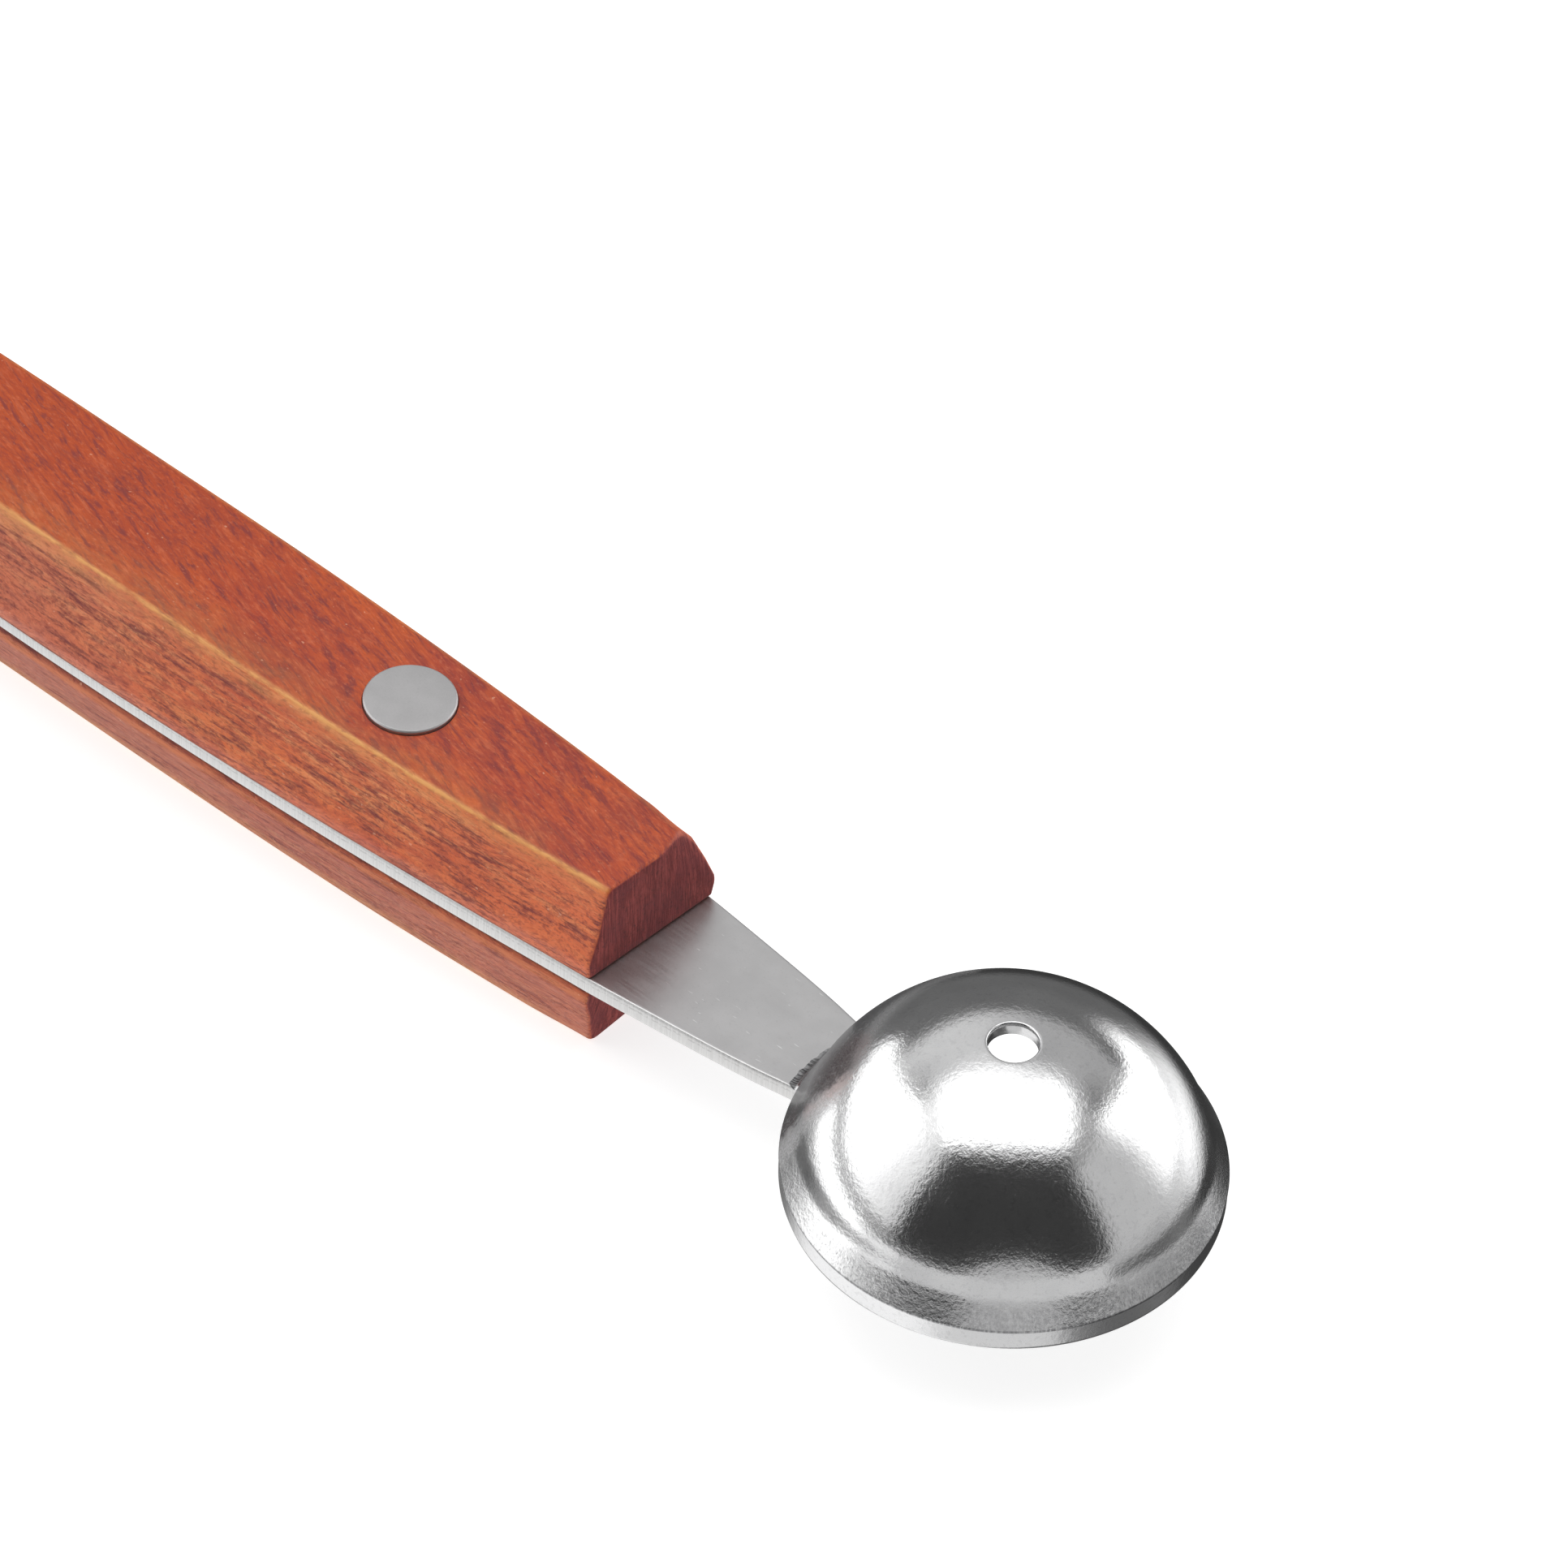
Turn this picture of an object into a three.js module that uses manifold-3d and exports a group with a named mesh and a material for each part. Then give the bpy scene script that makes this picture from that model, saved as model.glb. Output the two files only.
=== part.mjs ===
// Double-ended melon baller: a full-length steel tang between two wooden scales, held by two
// pairs of cutlery rivets, with a large bowl welded to one end and a small bowl to the other.
// Millimetres. +X runs toward the large bowl, +Z is up, and the origin is the middle of the
// footprint, on the flat bottom face of the lower scale. Both bowls open downwards.
import * as THREE from "three";
import { mergeVertices } from "three/addons/utils/BufferGeometryUtils.js";
import Module from "manifold-3d";

const wasm = await Module();
wasm.setup();

// ---- driving dimensions -------------------------------------------------------------------
const TOTAL_LENGTH = 176.0; // over both bowls

// handle
const HANDLE_LENGTH = 96.0;
const HANDLE_MID_X = -3.7;
const SCALE_THICKNESS = 6.9;
const TANG_THICKNESS = 1.2;
const TANG_BOTTOM_Z = SCALE_THICKNESS;
const TANG_TOP_Z = TANG_BOTTOM_Z + TANG_THICKNESS;
// half width of the tang, and of the scale where it meets the tang, against distance from the
// middle of the handle
const TANG_HALF_WIDTH = [
  [0, 7.55],
  [9, 7.46],
  [18, 7.22],
  [26, 6.9],
  [33, 6.5],
  [39, 6.1],
  [43.5, 5.74],
  [48, 5.4],
];
// half width of the flat outer face of a scale, out to the virtual corner with the side facet
const FACE_HALF_WIDTH = [
  [0, 5.2],
  [9, 5.19],
  [18, 5.12],
  [24, 5.0],
  [30, 4.82],
  [36, 4.52],
  [42, 4.15],
  [48, 3.72],
];
const RIDGE_RADIUS = 0.75; // rounding between the outer face and the side facet
const SIDE_SWELL = 0.2; // how far the side facet swells out just above the tang
const SIDE_SWELL_HEIGHT = 1.0;
const STATIONS = 32; // steps along a scale

// neck of the tang, half width against distance out from the end of the handle
const NECK_LARGE = [
  [0, 5.4],
  [2.5, 5.15],
  [5, 4.88],
  [7.5, 4.6],
  [10, 4.3],
  [12.5, 3.95],
  [14.5, 3.6],
  [17, 3.15],
];
const NECK_SMALL = [
  [0, 5.4],
  [2.5, 5.08],
  [5, 4.72],
  [7.5, 4.32],
  [10, 3.88],
  [12.5, 3.4],
  [14.3, 3.02],
  [16, 2.7],
];

// rivets: a headed tube from below and a headed pin from above
const RIVET_INSET = 20.5; // from each end of the handle
const HEAD_RADIUS = 3.05;
const HEAD_THICKNESS = 1.3;
const HEAD_PROUD = 0.25; // upper heads stand above the wood
const HEAD_SUNK = 0.05; // lower heads stop short of the resting face
const TUBE_RADIUS = 2.1;
const TUBE_BORE_RADIUS = 1.45;
const TUBE_TOP_Z = 11.6;
const PIN_RADIUS = 1.4;
const PIN_BOTTOM_Z = 3.4;
const FIT_GAP = 0.05; // radial clearance in every rivet hole
const ROUND_SEGMENTS = 48;

// bowls
const RIM_Z = 7.8; // plane of both cutting edges
const BOWL_SEGMENTS = 72;
const WELD_GAP = 0.15; // between the tang's curved end and the bowl wall
const LARGE = {
  rimRadius: 14.0,
  landHeight: 1.6,
  flareTop: 3.4,
  domeRadius: 13.94,
  domeDrop: 1.28,
  sheet: 1.05,
  holeRadius: 1.68,
  rings: 9,
};
const SMALL = {
  rimRadius: 11.0,
  landHeight: 1.3,
  flareTop: 2.75,
  domeRadius: 10.95,
  domeDrop: 1.02,
  sheet: 1.0,
  holeRadius: 1.5,
  rings: 8,
};
const LARGE_X = TOTAL_LENGTH / 2 - LARGE.rimRadius;
const SMALL_X = -TOTAL_LENGTH / 2 + SMALL.rimRadius;

const HANDLE_FRONT_X = HANDLE_MID_X + HANDLE_LENGTH / 2;
const HANDLE_REAR_X = HANDLE_MID_X - HANDLE_LENGTH / 2;
const RIVETS = {
  front: HANDLE_FRONT_X - RIVET_INSET,
  rear: HANDLE_REAR_X + RIVET_INSET,
};

// ---- helpers ------------------------------------------------------------------------------
// Smooth curve through [distance, value] pairs.
function curveThrough(pairs, mirrored) {
  const pts = (mirrored ? [[-pairs[1][0], pairs[1][1]], ...pairs] : pairs).map(
    ([x, y]) => [x, y],
  );
  const n = pts.length,
    m = [];
  for (let i = 0; i < n; i++) {
    const a = pts[Math.max(0, i - 1)],
      b = pts[Math.min(n - 1, i + 1)];
    m.push((b[1] - a[1]) / (b[0] - a[0]));
  }
  return (x) => {
    let i = 0;
    while (i < n - 2 && x > pts[i + 1][0]) i++;
    const h = pts[i + 1][0] - pts[i][0],
      t = Math.min(1, Math.max(0, (x - pts[i][0]) / h));
    const t2 = t * t,
      t3 = t2 * t;
    return (
      (2 * t3 - 3 * t2 + 1) * pts[i][1] +
      (t3 - 2 * t2 + t) * h * m[i] +
      (3 * t2 - 2 * t3) * pts[i + 1][1] +
      (t3 - t2) * h * m[i + 1]
    );
  };
}
const tangHalf = curveThrough(TANG_HALF_WIDTH, true);
const faceHalf = curveThrough(FACE_HALF_WIDTH, true);
const neckLarge = curveThrough(NECK_LARGE, false);
const neckSmall = curveThrough(NECK_SMALL, false);

// A closed geometry as a manifold solid.
function toSolid(geometry) {
  const g = geometry.clone();
  g.deleteAttribute("normal");
  g.deleteAttribute("uv");
  const merged = mergeVertices(g, 1e-4);
  const solid = new wasm.Manifold(
    new wasm.Mesh({
      numProp: 3,
      vertProperties: new Float32Array(merged.attributes.position.array),
      triVerts: new Uint32Array(merged.index.array),
    }),
  );
  if (solid.volume() < 0) throw new Error("profile runs the wrong way round");
  return solid;
}
function toGeometry(solid) {
  const mesh = solid.getMesh();
  const g = new THREE.BufferGeometry();
  g.setAttribute(
    "position",
    new THREE.BufferAttribute(new Float32Array(mesh.vertProperties), 3),
  );
  g.setIndex(new THREE.BufferAttribute(new Uint32Array(mesh.triVerts), 1));
  g.computeVertexNormals();
  return g;
}

// A profile of [radius, height] points turned about +Z.
function turned(profile, segments) {
  return new THREE.LatheGeometry(
    profile.map(([r, z]) => new THREE.Vector2(r, z)),
    segments,
  ).rotateX(Math.PI / 2);
}

// A polygonal round hole for a shape, with its corners where a turned piece has them.
function roundHole(x, radius) {
  const path = new THREE.Path();
  for (let k = 0; k <= ROUND_SEGMENTS; k++) {
    const a = (2 * Math.PI * k) / ROUND_SEGMENTS;
    const px = x + radius * Math.cos(a),
      py = radius * Math.sin(a);
    if (k) path.lineTo(px, py);
    else path.moveTo(px, py);
  }
  return path;
}

// ---- scale --------------------------------------------------------------------------------
// One piece serves both sides: it sits on the tang with its flat back at height 0, and the
// lower one is the same piece turned over.
function scaleGeometry() {
  // section over the unit square: u across, v up; the taper comes from the stations
  const right = [
    [1, 0],
    [1 + 0.6 * 0.024, 0.05],
    [1 + 0.024, SIDE_SWELL_HEIGHT / SCALE_THICKNESS],
    [1 + 0.02, 0.34],
    [1 + 0.012, 0.62],
    [1, 0.86],
  ];
  const steps = 5;
  for (let i = 0; i <= steps; i++) {
    const a = (i / steps) * (Math.PI / 2);
    right.push([
      1 - 0.16 + 0.16 * Math.cos(a),
      1 - RIDGE_RADIUS / SCALE_THICKNESS * (1 - Math.sin(a)),
    ]);
  }
  const outline = [...right, ...right.map(([u, v]) => [-u, v]).reverse()];
  const shape = new THREE.Shape(outline.map(([u, v]) => new THREE.Vector2(u, v)));
  const g = new THREE.ExtrudeGeometry(shape, {
    depth: HANDLE_LENGTH,
    steps: STATIONS,
    bevelEnabled: false,
  });
  const p = g.getAttribute("position");
  for (let i = 0; i < p.count; i++) {
    const u = p.getX(i),
      v = p.getY(i),
      along = p.getZ(i) - HANDLE_LENGTH / 2;
    const bottom = tangHalf(Math.abs(along)),
      top = faceHalf(Math.abs(along));
    p.setXYZ(
      i,
      HANDLE_MID_X + along,
      u * (bottom + (top - bottom) * v),
      v * SCALE_THICKNESS,
    );
  }
  // (across, up, along) became (along, across, up), an even change of axes, so faces stay out
  g.deleteAttribute("normal");
  let solid = toSolid(g);
  for (const x of Object.values(RIVETS)) {
    const shank = TUBE_RADIUS + FIT_GAP,
      sink = HEAD_RADIUS + FIT_GAP,
      floor = SCALE_THICKNESS - HEAD_THICKNESS + HEAD_PROUD - FIT_GAP;
    const cutter = turned(
      [
        [0, -1],
        [shank, -1],
        [shank, floor],
        [sink, floor],
        [sink, SCALE_THICKNESS + 1],
        [0, SCALE_THICKNESS + 1],
      ],
      ROUND_SEGMENTS,
    ).translate(x, 0, 0);
    solid = solid.subtract(toSolid(cutter));
  }
  return toGeometry(solid);
}

// ---- tang ---------------------------------------------------------------------------------
// End of the neck: an arc round the bowl, with its corners at the bowl's own facet lines.
function neckEnd(bowlX, wall, toward, neck, handleX) {
  const r = wall + WELD_GAP,
    pts = [];
  // where the neck's edge meets the arc
  let d = Math.abs(bowlX - handleX) - r;
  for (let i = 0; i < 30; i++) {
    const y = neck(d);
    d = Math.abs(bowlX - handleX) - Math.sqrt(r * r - y * y);
  }
  const edge = Math.asin(neck(d) / r);
  const step = (2 * Math.PI) / BOWL_SEGMENTS;
  const angles = [-edge];
  for (
    let k = Math.ceil(-edge / step + 1e-6);
    k * step < edge - 1e-6;
    k++
  )
    angles.push(k * step);
  angles.push(edge);
  for (const a of angles)
    pts.push([bowlX - toward * r * Math.cos(a), r * Math.sin(a)]);
  return { pts, reach: d };
}
function tangGeometry() {
  const front = neckEnd(LARGE_X, LARGE.rimRadius, 1, neckLarge, HANDLE_FRONT_X);
  const rear = neckEnd(SMALL_X, SMALL.rimRadius, -1, neckSmall, HANDLE_REAR_X);
  const half = []; // +Y edge from the small bowl to the large bowl
  const n = 9;
  for (let i = n - 1; i > 0; i--) {
    const d = (rear.reach * i) / n;
    half.push([HANDLE_REAR_X - d, neckSmall(d)]);
  }
  for (let i = 0; i <= STATIONS; i++) {
    const along = -HANDLE_LENGTH / 2 + (HANDLE_LENGTH * i) / STATIONS;
    half.push([HANDLE_MID_X + along, tangHalf(Math.abs(along))]);
  }
  for (let i = 1; i < n; i++) {
    const d = (front.reach * i) / n;
    half.push([HANDLE_FRONT_X + d, neckLarge(d)]);
  }
  const outline = [
    ...half.map(([x, y]) => [x, -y]), // -Y edge, toward +X
    ...front.pts, // round the large bowl, -Y to +Y
    ...half.slice().reverse(), // +Y edge, toward -X
    ...rear.pts.slice().reverse(), // round the small bowl, +Y to -Y
  ];
  const shape = new THREE.Shape(outline.map(([x, y]) => new THREE.Vector2(x, y)));
  for (const x of Object.values(RIVETS))
    shape.holes.push(roundHole(x, TUBE_RADIUS + FIT_GAP));
  const g = new THREE.ExtrudeGeometry(shape, {
    depth: TANG_THICKNESS,
    steps: 1,
    bevelEnabled: false,
  });
  return toGeometry(toSolid(g));
}

// ---- bowls --------------------------------------------------------------------------------
// Heights are above the cutting edge's plane. The outside rises as a short land, leans in
// over a ground flare and runs into a dome with a hole at its top.
function bowlGeometry(b) {
  const outer = [],
    inner = [];
  const ro = b.domeRadius,
    ri = b.domeRadius - b.sheet,
    c = -b.domeDrop;
  outer.push([b.rimRadius - 0.4, 0]);
  outer.push([b.rimRadius - 0.1, 0]);
  outer.push([b.rimRadius, 0.25]);
  outer.push([b.rimRadius, b.landHeight]);
  outer.push([
    b.rimRadius - 0.28 * (b.flareTop - b.landHeight) * 0.45,
    b.landHeight + (b.flareTop - b.landHeight) * 0.35,
  ]);
  const a0 = Math.asin((b.flareTop - c) / ro),
    a1 = Math.acos(b.holeRadius / ro);
  for (let i = 0; i <= b.rings; i++) {
    const a = a0 + ((a1 - a0) * i) / b.rings;
    outer.push([ro * Math.cos(a), c + ro * Math.sin(a)]);
  }
  const e0 = Math.asin((0.7 - c) / ri),
    e1 = Math.acos(b.holeRadius / ri);
  for (let i = b.rings; i >= 0; i--) {
    const a = e0 + ((e1 - e0) * i) / b.rings;
    inner.push([ri * Math.cos(a), c + ri * Math.sin(a)]);
  }
  const profile = [...outer, ...inner, outer[0]];
  return toGeometry(toSolid(turned(profile, BOWL_SEGMENTS)));
}

// ---- rivets -------------------------------------------------------------------------------
function femaleRivet() {
  const head = HEAD_SUNK + HEAD_THICKNESS - FIT_GAP - HEAD_PROUD;
  return turned(
    [
      [0, HEAD_SUNK],
      [HEAD_RADIUS, HEAD_SUNK],
      [HEAD_RADIUS, head],
      [TUBE_RADIUS, head],
      [TUBE_RADIUS, TUBE_TOP_Z],
      [TUBE_BORE_RADIUS, TUBE_TOP_Z],
      [TUBE_BORE_RADIUS, head + 0.5],
      [0, head + 0.5],
    ],
    ROUND_SEGMENTS,
  );
}
function maleRivet() {
  const top = TANG_TOP_Z + SCALE_THICKNESS + HEAD_PROUD;
  return turned(
    [
      [0, PIN_BOTTOM_Z],
      [PIN_RADIUS, PIN_BOTTOM_Z],
      [PIN_RADIUS, top - HEAD_THICKNESS],
      [HEAD_RADIUS, top - HEAD_THICKNESS],
      [HEAD_RADIUS, top],
      [0, top],
    ],
    ROUND_SEGMENTS,
  );
}

// ---- assembly -----------------------------------------------------------------------------
const wood = () =>
  new THREE.MeshStandardMaterial({ color: 0xb5502f, roughness: 0.5, metalness: 0 });
const satinSteel = () =>
  new THREE.MeshStandardMaterial({ color: 0xb2b0af, roughness: 0.35, metalness: 1 });
const polishedSteel = () =>
  new THREE.MeshStandardMaterial({ color: 0xc9c9ca, roughness: 0.16, metalness: 1 });
const rivetSteel = () =>
  new THREE.MeshStandardMaterial({ color: 0xb0aeab, roughness: 0.4, metalness: 1 });

const group = new THREE.Group();
function place(name, geometry, material, x = 0, y = 0, z = 0) {
  const mesh = new THREE.Mesh(geometry, material);
  mesh.name = name;
  mesh.position.set(x, y, z);
  group.add(mesh);
  return mesh;
}

place("tang", tangGeometry(), satinSteel(), 0, 0, TANG_BOTTOM_Z);
place("scale_upper", scaleGeometry(), wood(), 0, 0, TANG_TOP_Z);
const lower = place("scale_lower", scaleGeometry(), wood(), 0, 0, TANG_BOTTOM_Z);
lower.rotation.x = Math.PI;
place("bowl_large", bowlGeometry(LARGE), polishedSteel(), LARGE_X, 0, RIM_Z);
place("bowl_small", bowlGeometry(SMALL), polishedSteel(), SMALL_X, 0, RIM_Z);
for (const [end, x] of Object.entries(RIVETS)) {
  place("rivet_" + end + "_female", femaleRivet(), rivetSteel(), x, 0, 0);
  place("rivet_" + end + "_male", maleRivet(), rivetSteel(), x, 0, 0);
}

export default group;
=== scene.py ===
import math

import bmesh
import bpy
import numpy as np
from mathutils import Matrix, Vector
from mathutils.geometry import tessellate_polygon


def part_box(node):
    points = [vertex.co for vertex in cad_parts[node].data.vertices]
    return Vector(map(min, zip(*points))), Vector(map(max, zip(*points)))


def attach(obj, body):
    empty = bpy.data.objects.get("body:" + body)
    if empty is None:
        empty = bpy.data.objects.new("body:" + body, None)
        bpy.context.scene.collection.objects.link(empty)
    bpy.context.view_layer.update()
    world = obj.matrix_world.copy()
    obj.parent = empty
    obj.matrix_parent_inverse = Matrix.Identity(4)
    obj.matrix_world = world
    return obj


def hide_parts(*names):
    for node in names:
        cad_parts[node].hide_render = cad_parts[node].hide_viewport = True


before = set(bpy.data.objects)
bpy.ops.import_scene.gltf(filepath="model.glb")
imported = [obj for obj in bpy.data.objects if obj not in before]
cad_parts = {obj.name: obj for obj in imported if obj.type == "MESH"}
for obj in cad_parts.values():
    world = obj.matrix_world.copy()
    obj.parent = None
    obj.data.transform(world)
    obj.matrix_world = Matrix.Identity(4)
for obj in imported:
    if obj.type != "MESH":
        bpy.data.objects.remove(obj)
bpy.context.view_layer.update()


MM = 0.001
scene = bpy.context.scene

# ---------------------------------------------------------------------------------------------
# Places and sizes. Everything that has to meet the CAD comes from its boxes; the rest are the
# same driving dimensions, in millimetres.
# ---------------------------------------------------------------------------------------------


def box_mm(node):
    lo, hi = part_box(node)
    return np.array(lo) * 1000.0, np.array(hi) * 1000.0


T_LO, T_HI = box_mm("tang")
U_LO, U_HI = box_mm("scale_upper")
D_LO, D_HI = box_mm("scale_lower")
BL_LO, BL_HI = box_mm("bowl_large")
BS_LO, BS_HI = box_mm("bowl_small")
MF_LO, MF_HI = box_mm("rivet_front_male")
MR_LO, MR_HI = box_mm("rivet_rear_male")
FF_LO, FF_HI = box_mm("rivet_front_female")
FR_LO, FR_HI = box_mm("rivet_rear_female")

MID_X = (U_LO[0] + U_HI[0]) / 2
HALF_L = (U_HI[0] - U_LO[0]) / 2
TANG_Z0, TANG_Z1 = T_LO[2], T_HI[2]
TOP_Z = U_HI[2]
THICK = U_HI[2] - U_LO[2]
RIM_Z = BL_LO[2]
LARGE_C = np.array([(BL_LO[0] + BL_HI[0]) / 2, 0.0, RIM_Z])
SMALL_C = np.array([(BS_LO[0] + BS_HI[0]) / 2, 0.0, RIM_Z])
LARGE_R = (BL_HI[0] - BL_LO[0]) / 2
SMALL_R = (BS_HI[0] - BS_LO[0]) / 2
RIVETS = {
    "front": ((MF_LO[0] + MF_HI[0]) / 2, MF_LO, MF_HI, FF_LO, FF_HI),
    "rear": ((MR_LO[0] + MR_HI[0]) / 2, MR_LO, MR_HI, FR_LO, FR_HI),
}

TANG_HALF = [(0, 7.55), (9, 7.46), (18, 7.22), (26, 6.9), (33, 6.5), (39, 6.1), (43.5, 5.74), (48, 5.4)]
FACE_HALF = [(0, 5.2), (9, 5.19), (18, 5.12), (24, 5.0), (30, 4.82), (36, 4.52), (42, 4.15), (48, 3.72)]
NECK_LARGE = [(0, 5.4), (2.5, 5.15), (5, 4.88), (7.5, 4.6), (10, 4.3), (12.5, 3.95), (14.5, 3.6), (17, 3.15)]
NECK_SMALL = [(0, 5.4), (2.5, 5.08), (5, 4.72), (7.5, 4.32), (10, 3.88), (12.5, 3.4), (14.3, 3.02), (16, 2.7)]
WELD_GAP = 0.15


def curve_through(pairs, mirrored):
    pts = list(pairs)
    if mirrored:
        pts = [(-pts[1][0], pts[1][1])] + pts
    n = len(pts)
    m = []
    for i in range(n):
        a, b = pts[max(0, i - 1)], pts[min(n - 1, i + 1)]
        m.append((b[1] - a[1]) / (b[0] - a[0]))

    def f(x):
        i = 0
        while i < n - 2 and x > pts[i + 1][0]:
            i += 1
        h = pts[i + 1][0] - pts[i][0]
        t = min(1.0, max(0.0, (x - pts[i][0]) / h))
        t2, t3 = t * t, t * t * t
        return (
            (2 * t3 - 3 * t2 + 1) * pts[i][1]
            + (t3 - 2 * t2 + t) * h * m[i]
            + (3 * t2 - 2 * t3) * pts[i + 1][1]
            + (t3 - t2) * h * m[i + 1]
        )

    return f


tang_half = curve_through(TANG_HALF, True)
face_half = curve_through(FACE_HALF, True)
neck_large = curve_through(NECK_LARGE, False)
neck_small = curve_through(NECK_SMALL, False)


# ---------------------------------------------------------------------------------------------
# Mesh helpers
# ---------------------------------------------------------------------------------------------


def new_object(name, verts_mm, faces, origin_mm=(0, 0, 0), sharp_deg=32.0):
    """A mesh object whose vertices are given in the row frame, in mm, about its own origin."""
    o_mm = np.array(origin_mm, float)
    v = (np.asarray(verts_mm, float) - o_mm) * MM
    me = bpy.data.meshes.new(name)
    me.from_pydata([tuple(p) for p in v], [], [tuple(int(i) for i in f) for f in faces])
    me.validate()
    me.update()
    me.polygons.foreach_set("use_smooth", [True] * len(me.polygons))
    me.set_sharp_from_angle(angle=math.radians(sharp_deg))
    ob = bpy.data.objects.new(name, me)
    ob.location = Vector(o_mm * MM)
    scene.collection.objects.link(ob)
    return ob


def outward(ob):
    bm = bmesh.new()
    bm.from_mesh(ob.data)
    bmesh.ops.recalc_face_normals(bm, faces=bm.faces)
    if bm.calc_volume(signed=True) < 0:
        bmesh.ops.reverse_faces(bm, faces=bm.faces)
    bm.to_mesh(ob.data)
    bm.free()
    ob.data.update()


def lathe(name, profile, segments, origin_mm, sharp_deg=32.0):
    """Turns (r, z) points, in mm about origin_mm, round +Z. A point with r = 0 is a pole."""
    verts, rings = [], []
    for r, z in profile:
        if r < 1e-6:
            rings.append([len(verts)])
            verts.append((0.0, 0.0, z))
        else:
            rings.append(list(range(len(verts), len(verts) + segments)))
            for k in range(segments):
                a = 2 * math.pi * k / segments
                verts.append((r * math.cos(a), r * math.sin(a), z))
    faces = []
    closed = profile[0][0] > 1e-6 and profile[-1][0] > 1e-6
    pairs = list(zip(rings[:-1], rings[1:]))
    if closed:
        pairs.append((rings[-1], rings[0]))
    for a, b in pairs:
        for k in range(segments):
            j = (k + 1) % segments
            if len(a) == 1 and len(b) == 1:
                continue
            if len(a) == 1:
                faces.append((a[0], b[k], b[j]))
            elif len(b) == 1:
                faces.append((a[k], b[0], a[j]))
            else:
                faces.append((a[k], b[k], b[j], a[j]))
    o = np.array(origin_mm, float)
    ob = new_object(name, np.array(verts) + o, faces, origin_mm, sharp_deg)
    outward(ob)
    ob.data.polygons.foreach_set("use_smooth", [True] * len(ob.data.polygons))
    ob.data.set_sharp_from_angle(angle=math.radians(sharp_deg))
    return ob


def round_corner(p0, p1, p2, radius, steps=5):
    """Points of an arc that rounds the corner p1 between p0 and p2."""
    p0, p1, p2 = (np.array(p, float) for p in (p0, p1, p2))
    a, b = p0 - p1, p2 - p1
    la, lb = np.linalg.norm(a), np.linalg.norm(b)
    a, b = a / la, b / lb
    half = math.acos(max(-1.0, min(1.0, float(a @ b)))) / 2
    t = min(radius / math.tan(half), la * 0.49, lb * 0.49)
    r = t * math.tan(half)
    c = p1 + (a + b) / np.linalg.norm(a + b) * (r / math.sin(half))
    s, e = p1 + a * t, p1 + b * t
    v0, v1 = s - c, e - c
    ang = math.acos(max(-1.0, min(1.0, float(v0 @ v1) / (r * r))))
    out = []
    for i in range(steps + 1):
        w = i / steps
        out.append(tuple(c + (math.sin((1 - w) * ang) * v0 + math.sin(w * ang) * v1) / math.sin(ang)))
    return out


def rounded(points, radii, steps=5, closed=False):
    """A polyline with its corners rounded by radii, where 0 leaves the corner sharp."""
    n, out = len(points), []
    for i, p in enumerate(points):
        if radii[i] <= 0 or (not closed and i in (0, n - 1)):
            out.append(tuple(p))
        else:
            out += round_corner(points[(i - 1) % n], p, points[(i + 1) % n], radii[i], steps)
    return out


# ---------------------------------------------------------------------------------------------
# Bowls
# ---------------------------------------------------------------------------------------------


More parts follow.
